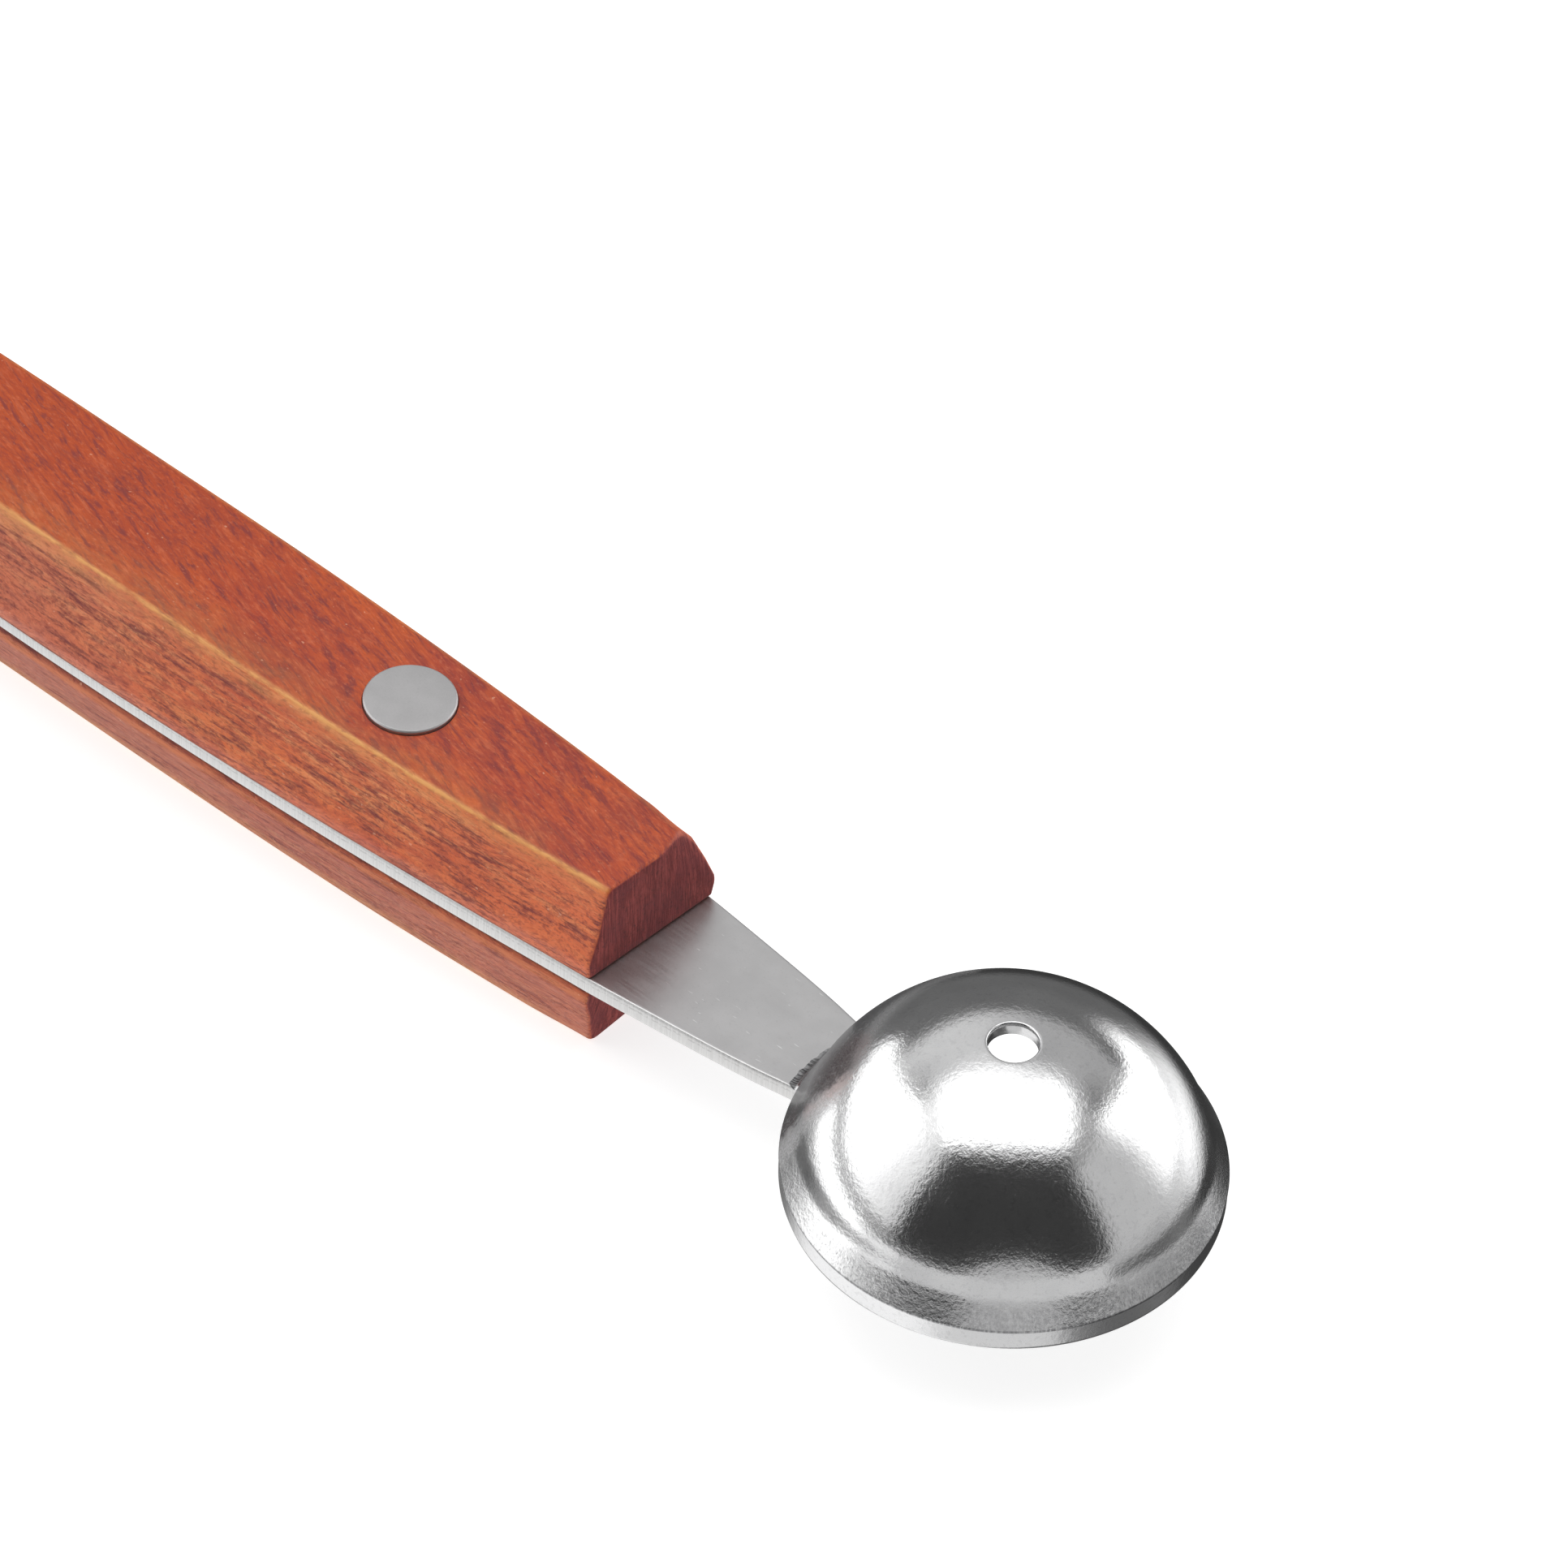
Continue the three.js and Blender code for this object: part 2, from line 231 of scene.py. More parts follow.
def bowl(name, node, centre, rim, land, flare_top, dome, drop, sheet, hole, segments, rings):
    c = -drop
    ri = dome - sheet
    a_hole = math.acos(hole / dome)
    a_flare = math.asin((flare_top + 0.15 - c) / dome)
    # outside: cutting land, lip, ground flare, dome, rolled edge of the drain hole
    corner = [
        (rim - 0.42, 0.0),
        (rim - 0.10, 0.0),
        (rim - 0.035, 0.22),
        (rim - 0.03, land - 0.07),
        (rim, land - 0.02),
        (rim - 0.012, land + 0.05),
        (rim - (flare_top - land) * 0.475, flare_top - 0.10),
    ]
    pts = rounded(corner, [0, 0.05, 0.05, 0.02, 0.03, 0.03, 0], 4)
    x0, z0 = corner[-1]
    # blend the cone into the dome
    d0 = np.array([-(flare_top - land) * 0.50, flare_top - land])
    d0 = d0 / np.linalg.norm(d0)
    a1 = a_flare + 0.10
    p1 = np.array([dome * math.cos(a1), c + dome * math.sin(a1)])
    d1 = np.array([-math.sin(a1), math.cos(a1)])
    span = float(np.linalg.norm(p1 - np.array([x0, z0])))
    for i in range(1, 9):
        t = i / 8.0
        h00, h10 = 2 * t**3 - 3 * t**2 + 1, t**3 - 2 * t**2 + t
        h01, h11 = 3 * t**2 - 2 * t**3, t**3 - t**2
        q = h00 * np.array([x0, z0]) + h10 * span * d0 + h01 * p1 + h11 * span * d1
        pts.append(tuple(q))
    a_end = a_hole - 0.010
    for i in range(1, rings + 1):
        a = a1 + (a_end - a1) * i / rings
        pts.append((dome * math.cos(a), c + dome * math.sin(a)))
    # drain hole: the punch rolls the outer edge over, and the wall goes straight down
    ze = c + math.sqrt(dome**2 - hole**2)
    r_end, z_end = pts[-1]
    pts += [
        (hole + 0.035, ze - 0.012),
        (hole - 0.015, ze - 0.035),
        (hole - 0.055, ze - 0.085),
        (hole - 0.080, ze - 0.16),
        (hole - 0.085, ze - 0.30),
    ]
    zi = c + math.sqrt(ri**2 - hole**2)
    pts += [(hole - 0.085, zi + 0.10), (hole - 0.05, zi + 0.03), (hole + 0.09, zi - 0.01)]
    # inside: dome, then the bevel that makes the cutting edge
    e1 = math.acos((hole + 0.09) / ri)
    e0 = math.asin((0.72 - c) / ri)
    for i in range(1, rings + 1):
        a = e1 + (e0 - e1) * i / rings
        pts.append((ri * math.cos(a), c + ri * math.sin(a)))
    pts.append((rim - 0.50, 0.05))
    ob = lathe(name, pts, segments, centre, 28.0)
    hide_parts(node)
    return ob


bowl_large = bowl("bowl_large_shell", "bowl_large", LARGE_C, LARGE_R, 1.6, 3.4, 13.94, 1.28, 1.05, 1.68, 224, 56)
bowl_small = bowl("bowl_small_shell", "bowl_small", SMALL_C, SMALL_R, 1.3, 2.75, 10.95, 1.02, 1.0, 1.5, 176, 44)


# ---------------------------------------------------------------------------------------------
# Tang: a flat strip cut from its outline, with the rivet holes, and slightly rolled edges
# ---------------------------------------------------------------------------------------------


def neck_arc(bowl_x, wall, toward, neck, handle_x, count):
    r = wall + WELD_GAP
    d = abs(bowl_x - handle_x) - r
    for _ in range(40):
        y = neck(d)
        d = abs(bowl_x - handle_x) - math.sqrt(r * r - y * y)
    edge = math.asin(neck(d) / r)
    pts = []
    for i in range(count + 1):
        a = -edge + 2 * edge * i / count
        pts.append((bowl_x - toward * r * math.cos(a), r * math.sin(a)))
    return pts, d, edge


front_arc, front_reach, front_edge = neck_arc(LARGE_C[0], LARGE_R, 1, neck_large, MID_X + HALF_L, 24)
rear_arc, rear_reach, rear_edge = neck_arc(SMALL_C[0], SMALL_R, -1, neck_small, MID_X - HALF_L, 20)


def tang_outline():
    half = []
    n = 28
    for i in range(n - 1, 0, -1):
        d = rear_reach * i / n
        half.append((MID_X - HALF_L - d, neck_small(d)))
    steps = 160
    for i in range(steps + 1):
        along = -HALF_L + 2 * HALF_L * i / steps
        half.append((MID_X + along, tang_half(abs(along))))
    for i in range(1, n):
        d = front_reach * i / n
        half.append((MID_X + HALF_L + d, neck_large(d)))
    return (
        [(x, -y) for x, y in half]
        + front_arc
        + half[::-1]
        + rear_arc[::-1]
    )


def tang_strip():
    """The outline swept through its thickness: a rolled-over upper edge, a square lower one."""
    line = [np.array(p) for p in tang_outline()]
    n = len(line)
    normal = []
    for i in range(n):
        e0, e1 = line[i] - line[i - 1], line[(i + 1) % n] - line[i]
        n0 = np.array([-e0[1], e0[0]]) / (np.linalg.norm(e0) + 1e-12)
        n1 = np.array([-e1[1], e1[0]]) / (np.linalg.norm(e1) + 1e-12)
        m = n0 + n1
        normal.append(m / max(0.7, float(m @ m)) * 2 / 2 * 1.0 if np.linalg.norm(m) > 1e-9 else n0)
    corners = [np.array(p) for p in (front_arc[0], front_arc[-1], rear_arc[0], rear_arc[-1])]
    ease = [min(1.0, max(0.04, min(float(np.linalg.norm(p - c)) for c in corners) / 1.3)) for p in line]
    thick = TANG_Z1 - TANG_Z0
    levels = [(0.34, 0.0), (0.05, 0.0), (0.012, 0.015), (0.0, 0.05)]
    levels += [(0.0, thick * 0.30), (0.012, thick * 0.52)]
    roll, drop = 0.30, 0.26
    for k in range(8):
        t = math.pi / 2 * (k + 1) / 8
        levels.append((0.012 + roll * (1 - math.cos(t)) ** 1.15, thick - drop * (1 - math.sin(t))))
    levels.append((roll + 0.20, thick))
    verts, rings = [], []
    for inset, z in levels:
        rings.append(list(range(len(verts), len(verts) + n)))
        for p, m, e in zip(line, normal, ease):
            q = p + m * inset * e
            verts.append((q[0], q[1], TANG_Z0 + z))
    faces = []
    for a, b in zip(rings[:-1], rings[1:]):
        for k in range(n):
            j = (k + 1) % n
            faces.append((a[k], a[j], b[j], b[k]))
    holes = []
    for x, *_ in RIVETS.values():
        lo, hi = [], []
        for k in range(64):
            t = 2 * math.pi * k / 64
            q = (x + 2.15 * math.cos(t), 2.15 * math.sin(t))
            lo.append(len(verts))
            verts.append((q[0], q[1], TANG_Z0))
            hi.append(len(verts))
            verts.append((q[0], q[1], TANG_Z1))
        for k in range(64):
            j = (k + 1) % 64
            faces.append((lo[k], lo[j], hi[j], hi[k]))
        holes.append((lo, hi))
    for ring, which, flip in ((rings[0], 0, True), (rings[-1], 1, False)):
        loops = [ring] + [h[which] for h in holes]
        flat = [i for loop in loops for i in loop]
        for tri in tessellate_polygon([[Vector(verts[i]) for i in loop] for loop in loops]):
            t = [flat[i] for i in tri]
            faces.append(tuple(t[::-1] if flip else t))
    ob = new_object("tang_strip", verts, faces, (0, 0, 0), 40)
    outward(ob)
    ob.data.polygons.foreach_set("use_smooth", [True] * len(ob.data.polygons))
    ob.data.set_sharp_from_angle(angle=math.radians(40))
    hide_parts("tang")
    return ob


tang = tang_strip()


# ---------------------------------------------------------------------------------------------
# Welds: a small concave bead above and below each curved end of the tang
# ---------------------------------------------------------------------------------------------


def weld(name, centre, wall, toward, edge, reach_out, rise, seed):
    """One closed bead that laps the tang's end from above and below and runs onto the bowl."""
    rng = np.random.default_rng(seed)
    n = 120
    verts, rings = [], []
    up = TANG_Z1 - centre[2]
    phase = rng.uniform(0, 6.28, 6)
    for i in range(n + 1):
        s = -1 + 2 * i / n
        a = s * (edge + 0.010)
        fade = math.sqrt(max(0.0, 1 - abs(s) ** 14)) * 0.92 + 0.08
        ripple = 1 + 0.035 * math.sin(21 * s + phase[0]) + 0.02 * math.sin(37 * s + phase[1])
        w = reach_out * (0.92 - 0.22 * s * toward) * fade * ripple
        h = rise * fade * (2 - ripple)
        sec = []
        steps = 14
        for k in range(steps + 1):  # concave upper face, from the tang up onto the bowl
            ang = k / steps * math.pi / 2
            sec.append((wall + 0.01 + w * (1 - math.sin(ang)) ** 0.9, up + 0.008 + h * (1 - math.cos(ang))))
        sec.append((wall - 0.22, up + h + 0.02))
        sec.append((wall - 0.22, 0.08))
        sec.append((wall + 0.30, 0.06))
        sec.append((wall + 0.34, up - 0.10))
        sec.append((wall + w * 0.97, up - 0.03))
        ring = []
        for rr, zz in sec:
            ring.append(len(verts))
            verts.append((
                centre[0] - toward * rr * math.cos(a),
                centre[1] + rr * math.sin(a),
                centre[2] + zz,
            ))
        rings.append(ring)
    faces = []
    m = len(rings[0])
    for a, b in zip(rings[:-1], rings[1:]):
        for k in range(m):
            j = (k + 1) % m
            faces.append((a[k], a[j], b[j], b[k]))
    faces.append(tuple(rings[0][::-1]))
    faces.append(tuple(rings[-1]))
    ob = new_object(name, verts, faces, centre, 50)
    outward(ob)
    ob.data.polygons.foreach_set("use_smooth", [True] * len(ob.data.polygons))
    ob.data.set_sharp_from_angle(angle=math.radians(50))
    return ob


weld_large = weld("weld_large", LARGE_C, LARGE_R, 1, front_edge, 1.05, 1.25, 11)
weld_small = weld("weld_small", SMALL_C, SMALL_R, -1, rear_edge, 0.85, 1.0, 12)


# ---------------------------------------------------------------------------------------------
# Scales: a long loft whose section tapers from the tang to the flat outer face
# ---------------------------------------------------------------------------------------------


def smooth_noise(rng, count):
    """A smooth, seeded, zero-mean curve on 0..1."""
    amp = rng.normal(size=count) / np.arange(1, count + 1)
    ph = rng.uniform(0, 2 * math.pi, count)

    def f(t):
        return float(sum(amp[k] * math.sin(2 * math.pi * (k + 0.5) * t + ph[k]) for k in range(count)))

    return f


def scale(name, node, upper, seed):
    rng = np.random.default_rng(seed)
    wob_top = [smooth_noise(rng, 5) for _ in range(4)]
    stations = 230
    seam = 0.12 if upper else 0.62
    rings, verts = [], []
    us = []

    def section(along):
        """(y, z, painted ridge highlight) round the section, anticlockwise from the middle of the back."""
        t = (along + HALF_L) / (2 * HALF_L)
        b, f = tang_half(abs(along)), face_half(abs(along))
        side = []
        for side_sign, wb in ((1, wob_top[0]), (-1, wob_top[1])):
            dy = 0.030 * wb(t)
            near_end = max(0.0, 1 - (HALF_L - abs(along)) / 7.0)
            e = near_end * near_end * (3 - 2 * near_end)
            if side_sign > 0 and upper:  # sanded rounder, and left a little full, towards the ends
                soft, full, pull = 0.80 + 1.7 * e, 0.40 * e, 0.15 * e
            else:
                soft, full, pull = 0.42 + 0.30 * e, 0.0, 0.0
            proud = 0.0  # the upper scale stands a little proud of the tang on one side
            if side_sign < 0 and upper:
                u = min(1.0, max(0.0, (36.0 - MID_X - along) / 40.0)) * min(1.0, (HALF_L + along) / 16.0)
                proud = 0.30 * u * u * (3 - 2 * u)
            corner = [
                (b * 0.6, 0.0),
                (b - 0.02 + 0.3 * full + proud, 0.0),
                (b + 0.012 * b + full + 0.9 * proud, 1.25),
                (b + (f - b) * 0.5 + 0.012 * b + 1.35 * full + 0.35 * proud, THICK * 0.5),
                (b + (f - b) * 0.77 + 0.006 * b + 1.25 * full, THICK * 0.77),
                (f + dy - pull, THICK),
                (f * 0.30, THICK),
            ]
            side.append(rounded(corner, [0, seam, 1.6, 3.0, 0, soft, 0], 9))
        right, left = side
        out = []
        back = 6
        for k in range(back):  # flat back
            out.append((b * 0.6 * (k / back), 0.0, 0.0))
        for y, z in right[:-1]:
            out.append((y, z, 0.0))
        fr = right[-1][0]
        fl = left[-1][0]
        cols = 14
        for k in range(cols + 1):
            y = fr + (-fl - fr) * k / cols
            out.append((y, THICK, 0.0))
        for y, z in left[:-1][::-1]:
            out.append((-y, z, 0.0))
        for k in range(back, 0, -1):
            out.append((-b * 0.6 * (k / back), 0.0, 0.0))
        # painted highlight along the ridge between face and facet, by closeness to it; weaker on the upper scale's far
        # side
        res = []
        for y, z, _ in out:
            s = 1 if y >= 0 else -1
            d = math.hypot(abs(y) - (f - 0.07), z - (THICK - 0.10))
            shine = 0.30 if (upper and y > 0) else 1.0
            res.append((y, z, shine * (math.exp(-((d / 0.20) ** 2)) + 0.30 * math.exp(-((d / 0.70) ** 2)) * (z < THICK - 0.05))))
        return res

    inset = 0.32
    plan = []  # (along, shrink in mm)
    steps = 5
    for k in range(steps + 1):
        a = math.pi / 2 * k / steps
        plan.append((-HALF_L + inset * (1 - math.sin(a)), inset * (1 - math.cos(a))))
    plan = plan[::-1]
    # plan runs from the end face's edge (fully shrunk) to the full section
    plan = [(-HALF_L + inset * (1 - math.cos(math.pi / 2 * k / steps)), inset * (1 - math.sin(math.pi / 2 * k / steps))) for k in range(steps + 1)]
    body = [(-HALF_L + inset + (2 * HALF_L - 2 * inset) * k / stations, 0.0) for k in range(1, stations)]
    plan = plan + body + [(-a, s) for a, s in plan[::-1]]
    ridge_glint = []
    for along, shrink in plan:
        sec = section(along)
        ring = []
        hw = max(abs(y) for y, z, w in sec)
        for y, z, w in sec:
            if shrink > 0:
                y = y * (1 - shrink / hw)
                mid = THICK / 2
                z = mid + (z - mid) * (1 - shrink / mid)
            end = math.exp(-(((HALF_L - abs(along)) / 0.22) ** 2))
            ring.append(len(verts))
            verts.append((MID_X + along, y, z))
            ridge_glint.append(max(w * (1 - end), 0.0))
        rings.append(ring)
    faces = []
    m = len(rings[0])
    for a, b in zip(rings[:-1], rings[1:]):
        for k in range(m):
            j = (k + 1) % m
            faces.append((a[k], b[k], b[j], a[j]))
    for ring, x in ((rings[0], MID_X - HALF_L), (rings[-1], MID_X + HALF_L)):
        prev = ring
        pts = [verts[i] for i in ring]
        for s in (0.86, 0.66, 0.42, 0.2):
            cur = []
            for _, y, z in pts:
                cur.append(len(verts))
                verts.append((x, y * s, THICK / 2 + (z - THICK / 2) * s))
                ridge_glint.append(0.0)
            for k in range(m):
                j = (k + 1) % m
                faces.append((prev[k], prev[j], cur[j], cur[k]))
            prev = cur
        centre = len(verts)
        verts.append((x, 0.0, THICK / 2))
        ridge_glint.append(0.0)
        for k in range(m):
            j = (k + 1) % m
            faces.append((prev[k], prev[j], centre))
    v = np.array(verts)
    # hand-sanded faces: a few hundredths of a millimetre of wander, none at the back
    t = (v[:, 0] - (MID_X - HALF_L)) / (2 * HALF_L)
    lift = np.array([wob_top[2](a) for a in t]) * 0.018 + np.array([wob_top[3](a) for a in t]) * 0.012 * v[:, 1] / 5.0
    k = np.clip((v[:, 2] - THICK * 0.9) / (THICK * 0.1), 0, 1)
    v[:, 2] += (lift - 0.035) * k
    # the ends are sawn a little out of square, and lean in towards the outer face
    for sign in (1, -1):
        w = np.clip(1 - (HALF_L - sign * (v[:, 0] - MID_X)) / 7.0, 0, 1)
        w = w * w * (3 - 2 * w)
        deep = v[:, 2] / THICK
        if upper:
            v[:, 0] += sign * w * (0.07 * (v[:, 1] + 5.4) - 0.22 * deep)
            # the far upper corner is knocked back
            near = np.clip(1 - (HALF_L - sign * (v[:, 0] - MID_X)) / 4.0, 0, 1)
            near = near * near * (3 - 2 * near)
            far_top = np.clip((v[:, 1] - 0.5) / 4.5, 0, 1) ** 1.5 * (np.clip(deep - 0.35, 0, 1) / 0.65) ** 1.4
            v[:, 0] -= sign * near * 1.45 * far_top
            v[:, 1] -= near * 0.30 * far_top
        else:
            v[:, 0] -= sign * w * 1.25 * np.clip(deep - 0.04, 0, 1)
    if upper:
        v[:, 2] += TANG_Z1
    else:
        v[:, 1] *= -1
        v[:, 2] = TANG_Z0 - v[:, 2]
        v[:, 2] = np.maximum(v[:, 2], 0.0)
    ob = new_object(name, v, faces, (0, 0, 0), 50)
    outward(ob)
    # per-vertex strength of the painted highlight along the ridges
    attr = ob.data.attributes.new("ridge_highlight", "FLOAT", "POINT")
    attr.data.foreach_set("value", ridge_glint)
    # rivet holes: a through hole and a counterbore from the outer face
    floor = THICK - 1.3 + 0.25 - 0.05
    cutters = []
    for end, (x, *_) in RIVETS.items():
        prof = [(0, -1), (2.15, -1), (2.15, floor), (3.09, floor), (3.09, THICK - 0.10), (3.14, THICK - 0.03), (3.30, THICK + 0.12), (3.30, THICK + 1), (0, THICK + 1)]
        cut = lathe("cut_" + name + "_" + end, prof, 96, (0, 0, 0))
        for vert in cut.data.vertices:
            z = vert.co.z * 1000
            if upper:
                vert.co = Vector(((vert.co.x * 1000 + x) * MM, vert.co.y, (z + TANG_Z1) * MM))
            else:
                vert.co = Vector(((vert.co.x * 1000 + x) * MM, -vert.co.y, (TANG_Z0 - z) * MM))
        cut.data.update()
        cutters.append(cut)
        mod = ob.modifiers.new("hole_" + end, "BOOLEAN")
        mod.operation = "DIFFERENCE"
        mod.solver = "EXACT"
        mod.object = cut
    bpy.context.view_layer.update()
    made = bpy.data.meshes.new_from_object(ob.evaluated_get(bpy.context.evaluated_depsgraph_get()))
    ob.modifiers.clear()
    ob.data = made
    for cut in cutters:
        bpy.data.objects.remove(cut)
    made.name = name
    made.polygons.foreach_set("use_smooth", [True] * len(made.polygons))
    made.set_sharp_from_angle(angle=math.radians(40))
    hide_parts(node)
    return ob


scale_up = scale("scale_upper_wood", "scale_upper", True, 21)
scale_dn = scale("scale_lower_wood", "scale_lower", False, 22)


# ---------------------------------------------------------------------------------------------
# Rivets
# ---------------------------------------------------------------------------------------------


def rivet(end):
    x, m_lo, m_hi, f_lo, f_hi = RIVETS[end]
    head_r = (m_hi[0] - m_lo[0]) / 2
    top, bottom = m_hi[2], m_lo[2]
    # pin with its ground head
    corner = [
        (0, bottom), (1.15, bottom), (1.40, bottom + 0.5), (1.40, top - 1.3),
        (head_r, top - 1.3), (head_r, top - 0.10), (head_r - 0.10, top - 0.004), (head_r * 0.6, top), (0, top),
    ]
    pts = rounded(corner, [0, 0.1, 0.2, 0.1, 0.06, 0.05, 0.06, 0, 0], 5)
    # rings over the flat head, so the ground face keeps an even mesh
    flat = [(head_r * 0.6 * (1 - i / 8), top) for i in range(1, 8)]
    pts = pts[:-1] + flat + [(0, top)]
    male = lathe("rivet_%s_pin" % end, pts, 96, (x, 0, 0), 30)
    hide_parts("rivet_%s_male" % end)
    # tube with its ground head
    low, high = f_lo[2], f_hi[2]
    head_top = 0.05 + 1.3 - 0.05 - 0.25
    corner = [
        (0, low), (head_r - 0.08, low + 0.0), (head_r, low + 0.08), (head_r, head_top), (2.1, head_top),
        (2.1, high), (1.45, high), (1.45, head_top + 0.5), (0, head_top + 0.5),
    ]
    pts = rounded(corner, [0, 0.05, 0.04, 0.05, 0.1, 0.08, 0.08, 0.05, 0], 4)
    flat = [(head_r * (i / 8), low) for i in range(1, 7)]
    pts = [pts[0]] + flat + pts[1:]
    female = lathe("rivet_%s_tube" % end, pts, 96, (x, 0, 0), 30)
    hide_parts("rivet_%s_female" % end)
    return male, female


rivets = {end: rivet(end) for end in RIVETS}


# ---------------------------------------------------------------------------------------------
# Materials
# ---------------------------------------------------------------------------------------------


class Nodes:
    """Short names for building a node tree."""

    def __init__(self, mat):
        self.t = mat.node_tree
        self.t.nodes.clear()
        self.out = self.t.nodes.new("ShaderNodeOutputMaterial")

    def n(self, kind, **props):
        node = self.t.nodes.new(kind)
        for k, v in props.items():
            setattr(node, k, v)
        return node

    def link(self, a, b):
        self.t.links.new(a, b)

    def put(self, socket, value):
        if hasattr(value, "is_output") or isinstance(value, bpy.types.NodeSocket):
            self.t.links.new(value, socket)
        else:
            socket.default_value = value

    def math(self, op, a, b=None, c=None, clamp=False):
        m = self.n("ShaderNodeMath", operation=op, use_clamp=clamp)
        self.put(m.inputs[0], a)
        if b is not None:
            self.put(m.inputs[1], b)
        if c is not None:
            self.put(m.inputs[2], c)
        return m.outputs[0]

    def ramp(self, fac, lo, hi, a=0.0, b=1.0, smooth=True):
        m = self.n("ShaderNodeMapRange")
        m.interpolation_type = "SMOOTHSTEP" if smooth else "LINEAR"
        self.put(m.inputs["Value"], fac)
        self.put(m.inputs["From Min"], lo)
        self.put(m.inputs["From Max"], hi)
        self.put(m.inputs["To Min"], a)
        self.put(m.inputs["To Max"], b)
        return m.outputs["Result"]

    def coords_mm(self):
        tc = self.n("ShaderNodeTexCoord")
        m = self.n("ShaderNodeVectorMath", operation="SCALE")
        self.link(tc.outputs["Object"], m.inputs[0])
        m.inputs["Scale"].default_value = 1000.0
        return m.outputs[0]

    def scaled(self, vec, s, rot=(0, 0, 0), loc=(0, 0, 0)):
        m = self.n("ShaderNodeMapping")
        self.link(vec, m.inputs["Vector"])
        m.inputs["Scale"].default_value = s
        m.inputs["Rotation"].default_value = rot
        m.inputs["Location"].default_value = loc
        return m.outputs[0]

    def noise(self, vec, scale=1.0, detail=2.0, rough=0.5, distort=0.0, dims="3D"):
        m = self.n("ShaderNodeTexNoise", noise_dimensions=dims)
        if vec is not None:
            self.link(vec, m.inputs["Vector"])
        m.inputs["Scale"].default_value = scale
        m.inputs["Detail"].default_value = detail
        m.inputs["Roughness"].default_value = rough
        m.inputs["Distortion"].default_value = distort
        return m.outputs["Fac"]

    def mix(self, fac, a, b, mode="MIX"):
        m = self.n("ShaderNodeMix", data_type="RGBA", blend_type=mode)
        self.put(m.inputs["Factor"], fac)
        self.put(m.inputs["A"], a if not isinstance(a, tuple) else (*a, 1.0)[:4])
        self.put(m.inputs["B"], b if not isinstance(b, tuple) else (*b, 1.0)[:4])
        return m.outputs["Result"]

    def mixf(self, fac, a, b):
        m = self.n("ShaderNodeMix", data_type="FLOAT")
        self.put(m.inputs["Factor"], fac)
        self.put(m.inputs["A"], a)
        self.put(m.inputs["B"], b)
        return m.outputs["Result"]

    def split(self, vec):
        m = self.n("ShaderNodeSeparateXYZ")
        self.link(vec, m.inputs[0])
        return m.outputs[0], m.outputs[1], m.outputs[2]

    def bump(self, height, strength, distance_mm, prev=None):
        b = self.n("ShaderNodeBump")
        self.put(b.inputs["Height"], height)
        b.inputs["Strength"].default_value = strength
        b.inputs["Distance"].default_value = distance_mm * MM
        if prev is not None:
            self.link(prev, b.inputs["Normal"])
        return b.outputs["Normal"]

    def principled(self, **inputs):
        p = self.n("ShaderNodeBsdfPrincipled")
        for k, v in inputs.items():
            self.put(p.inputs[k.replace("_", " ")], v)
        self.link(p.outputs[0], self.out.inputs["Surface"])
        return p


def material(name):
    m = bpy.data.materials.new(name)
    m.use_nodes = True
    return m, Nodes(m)


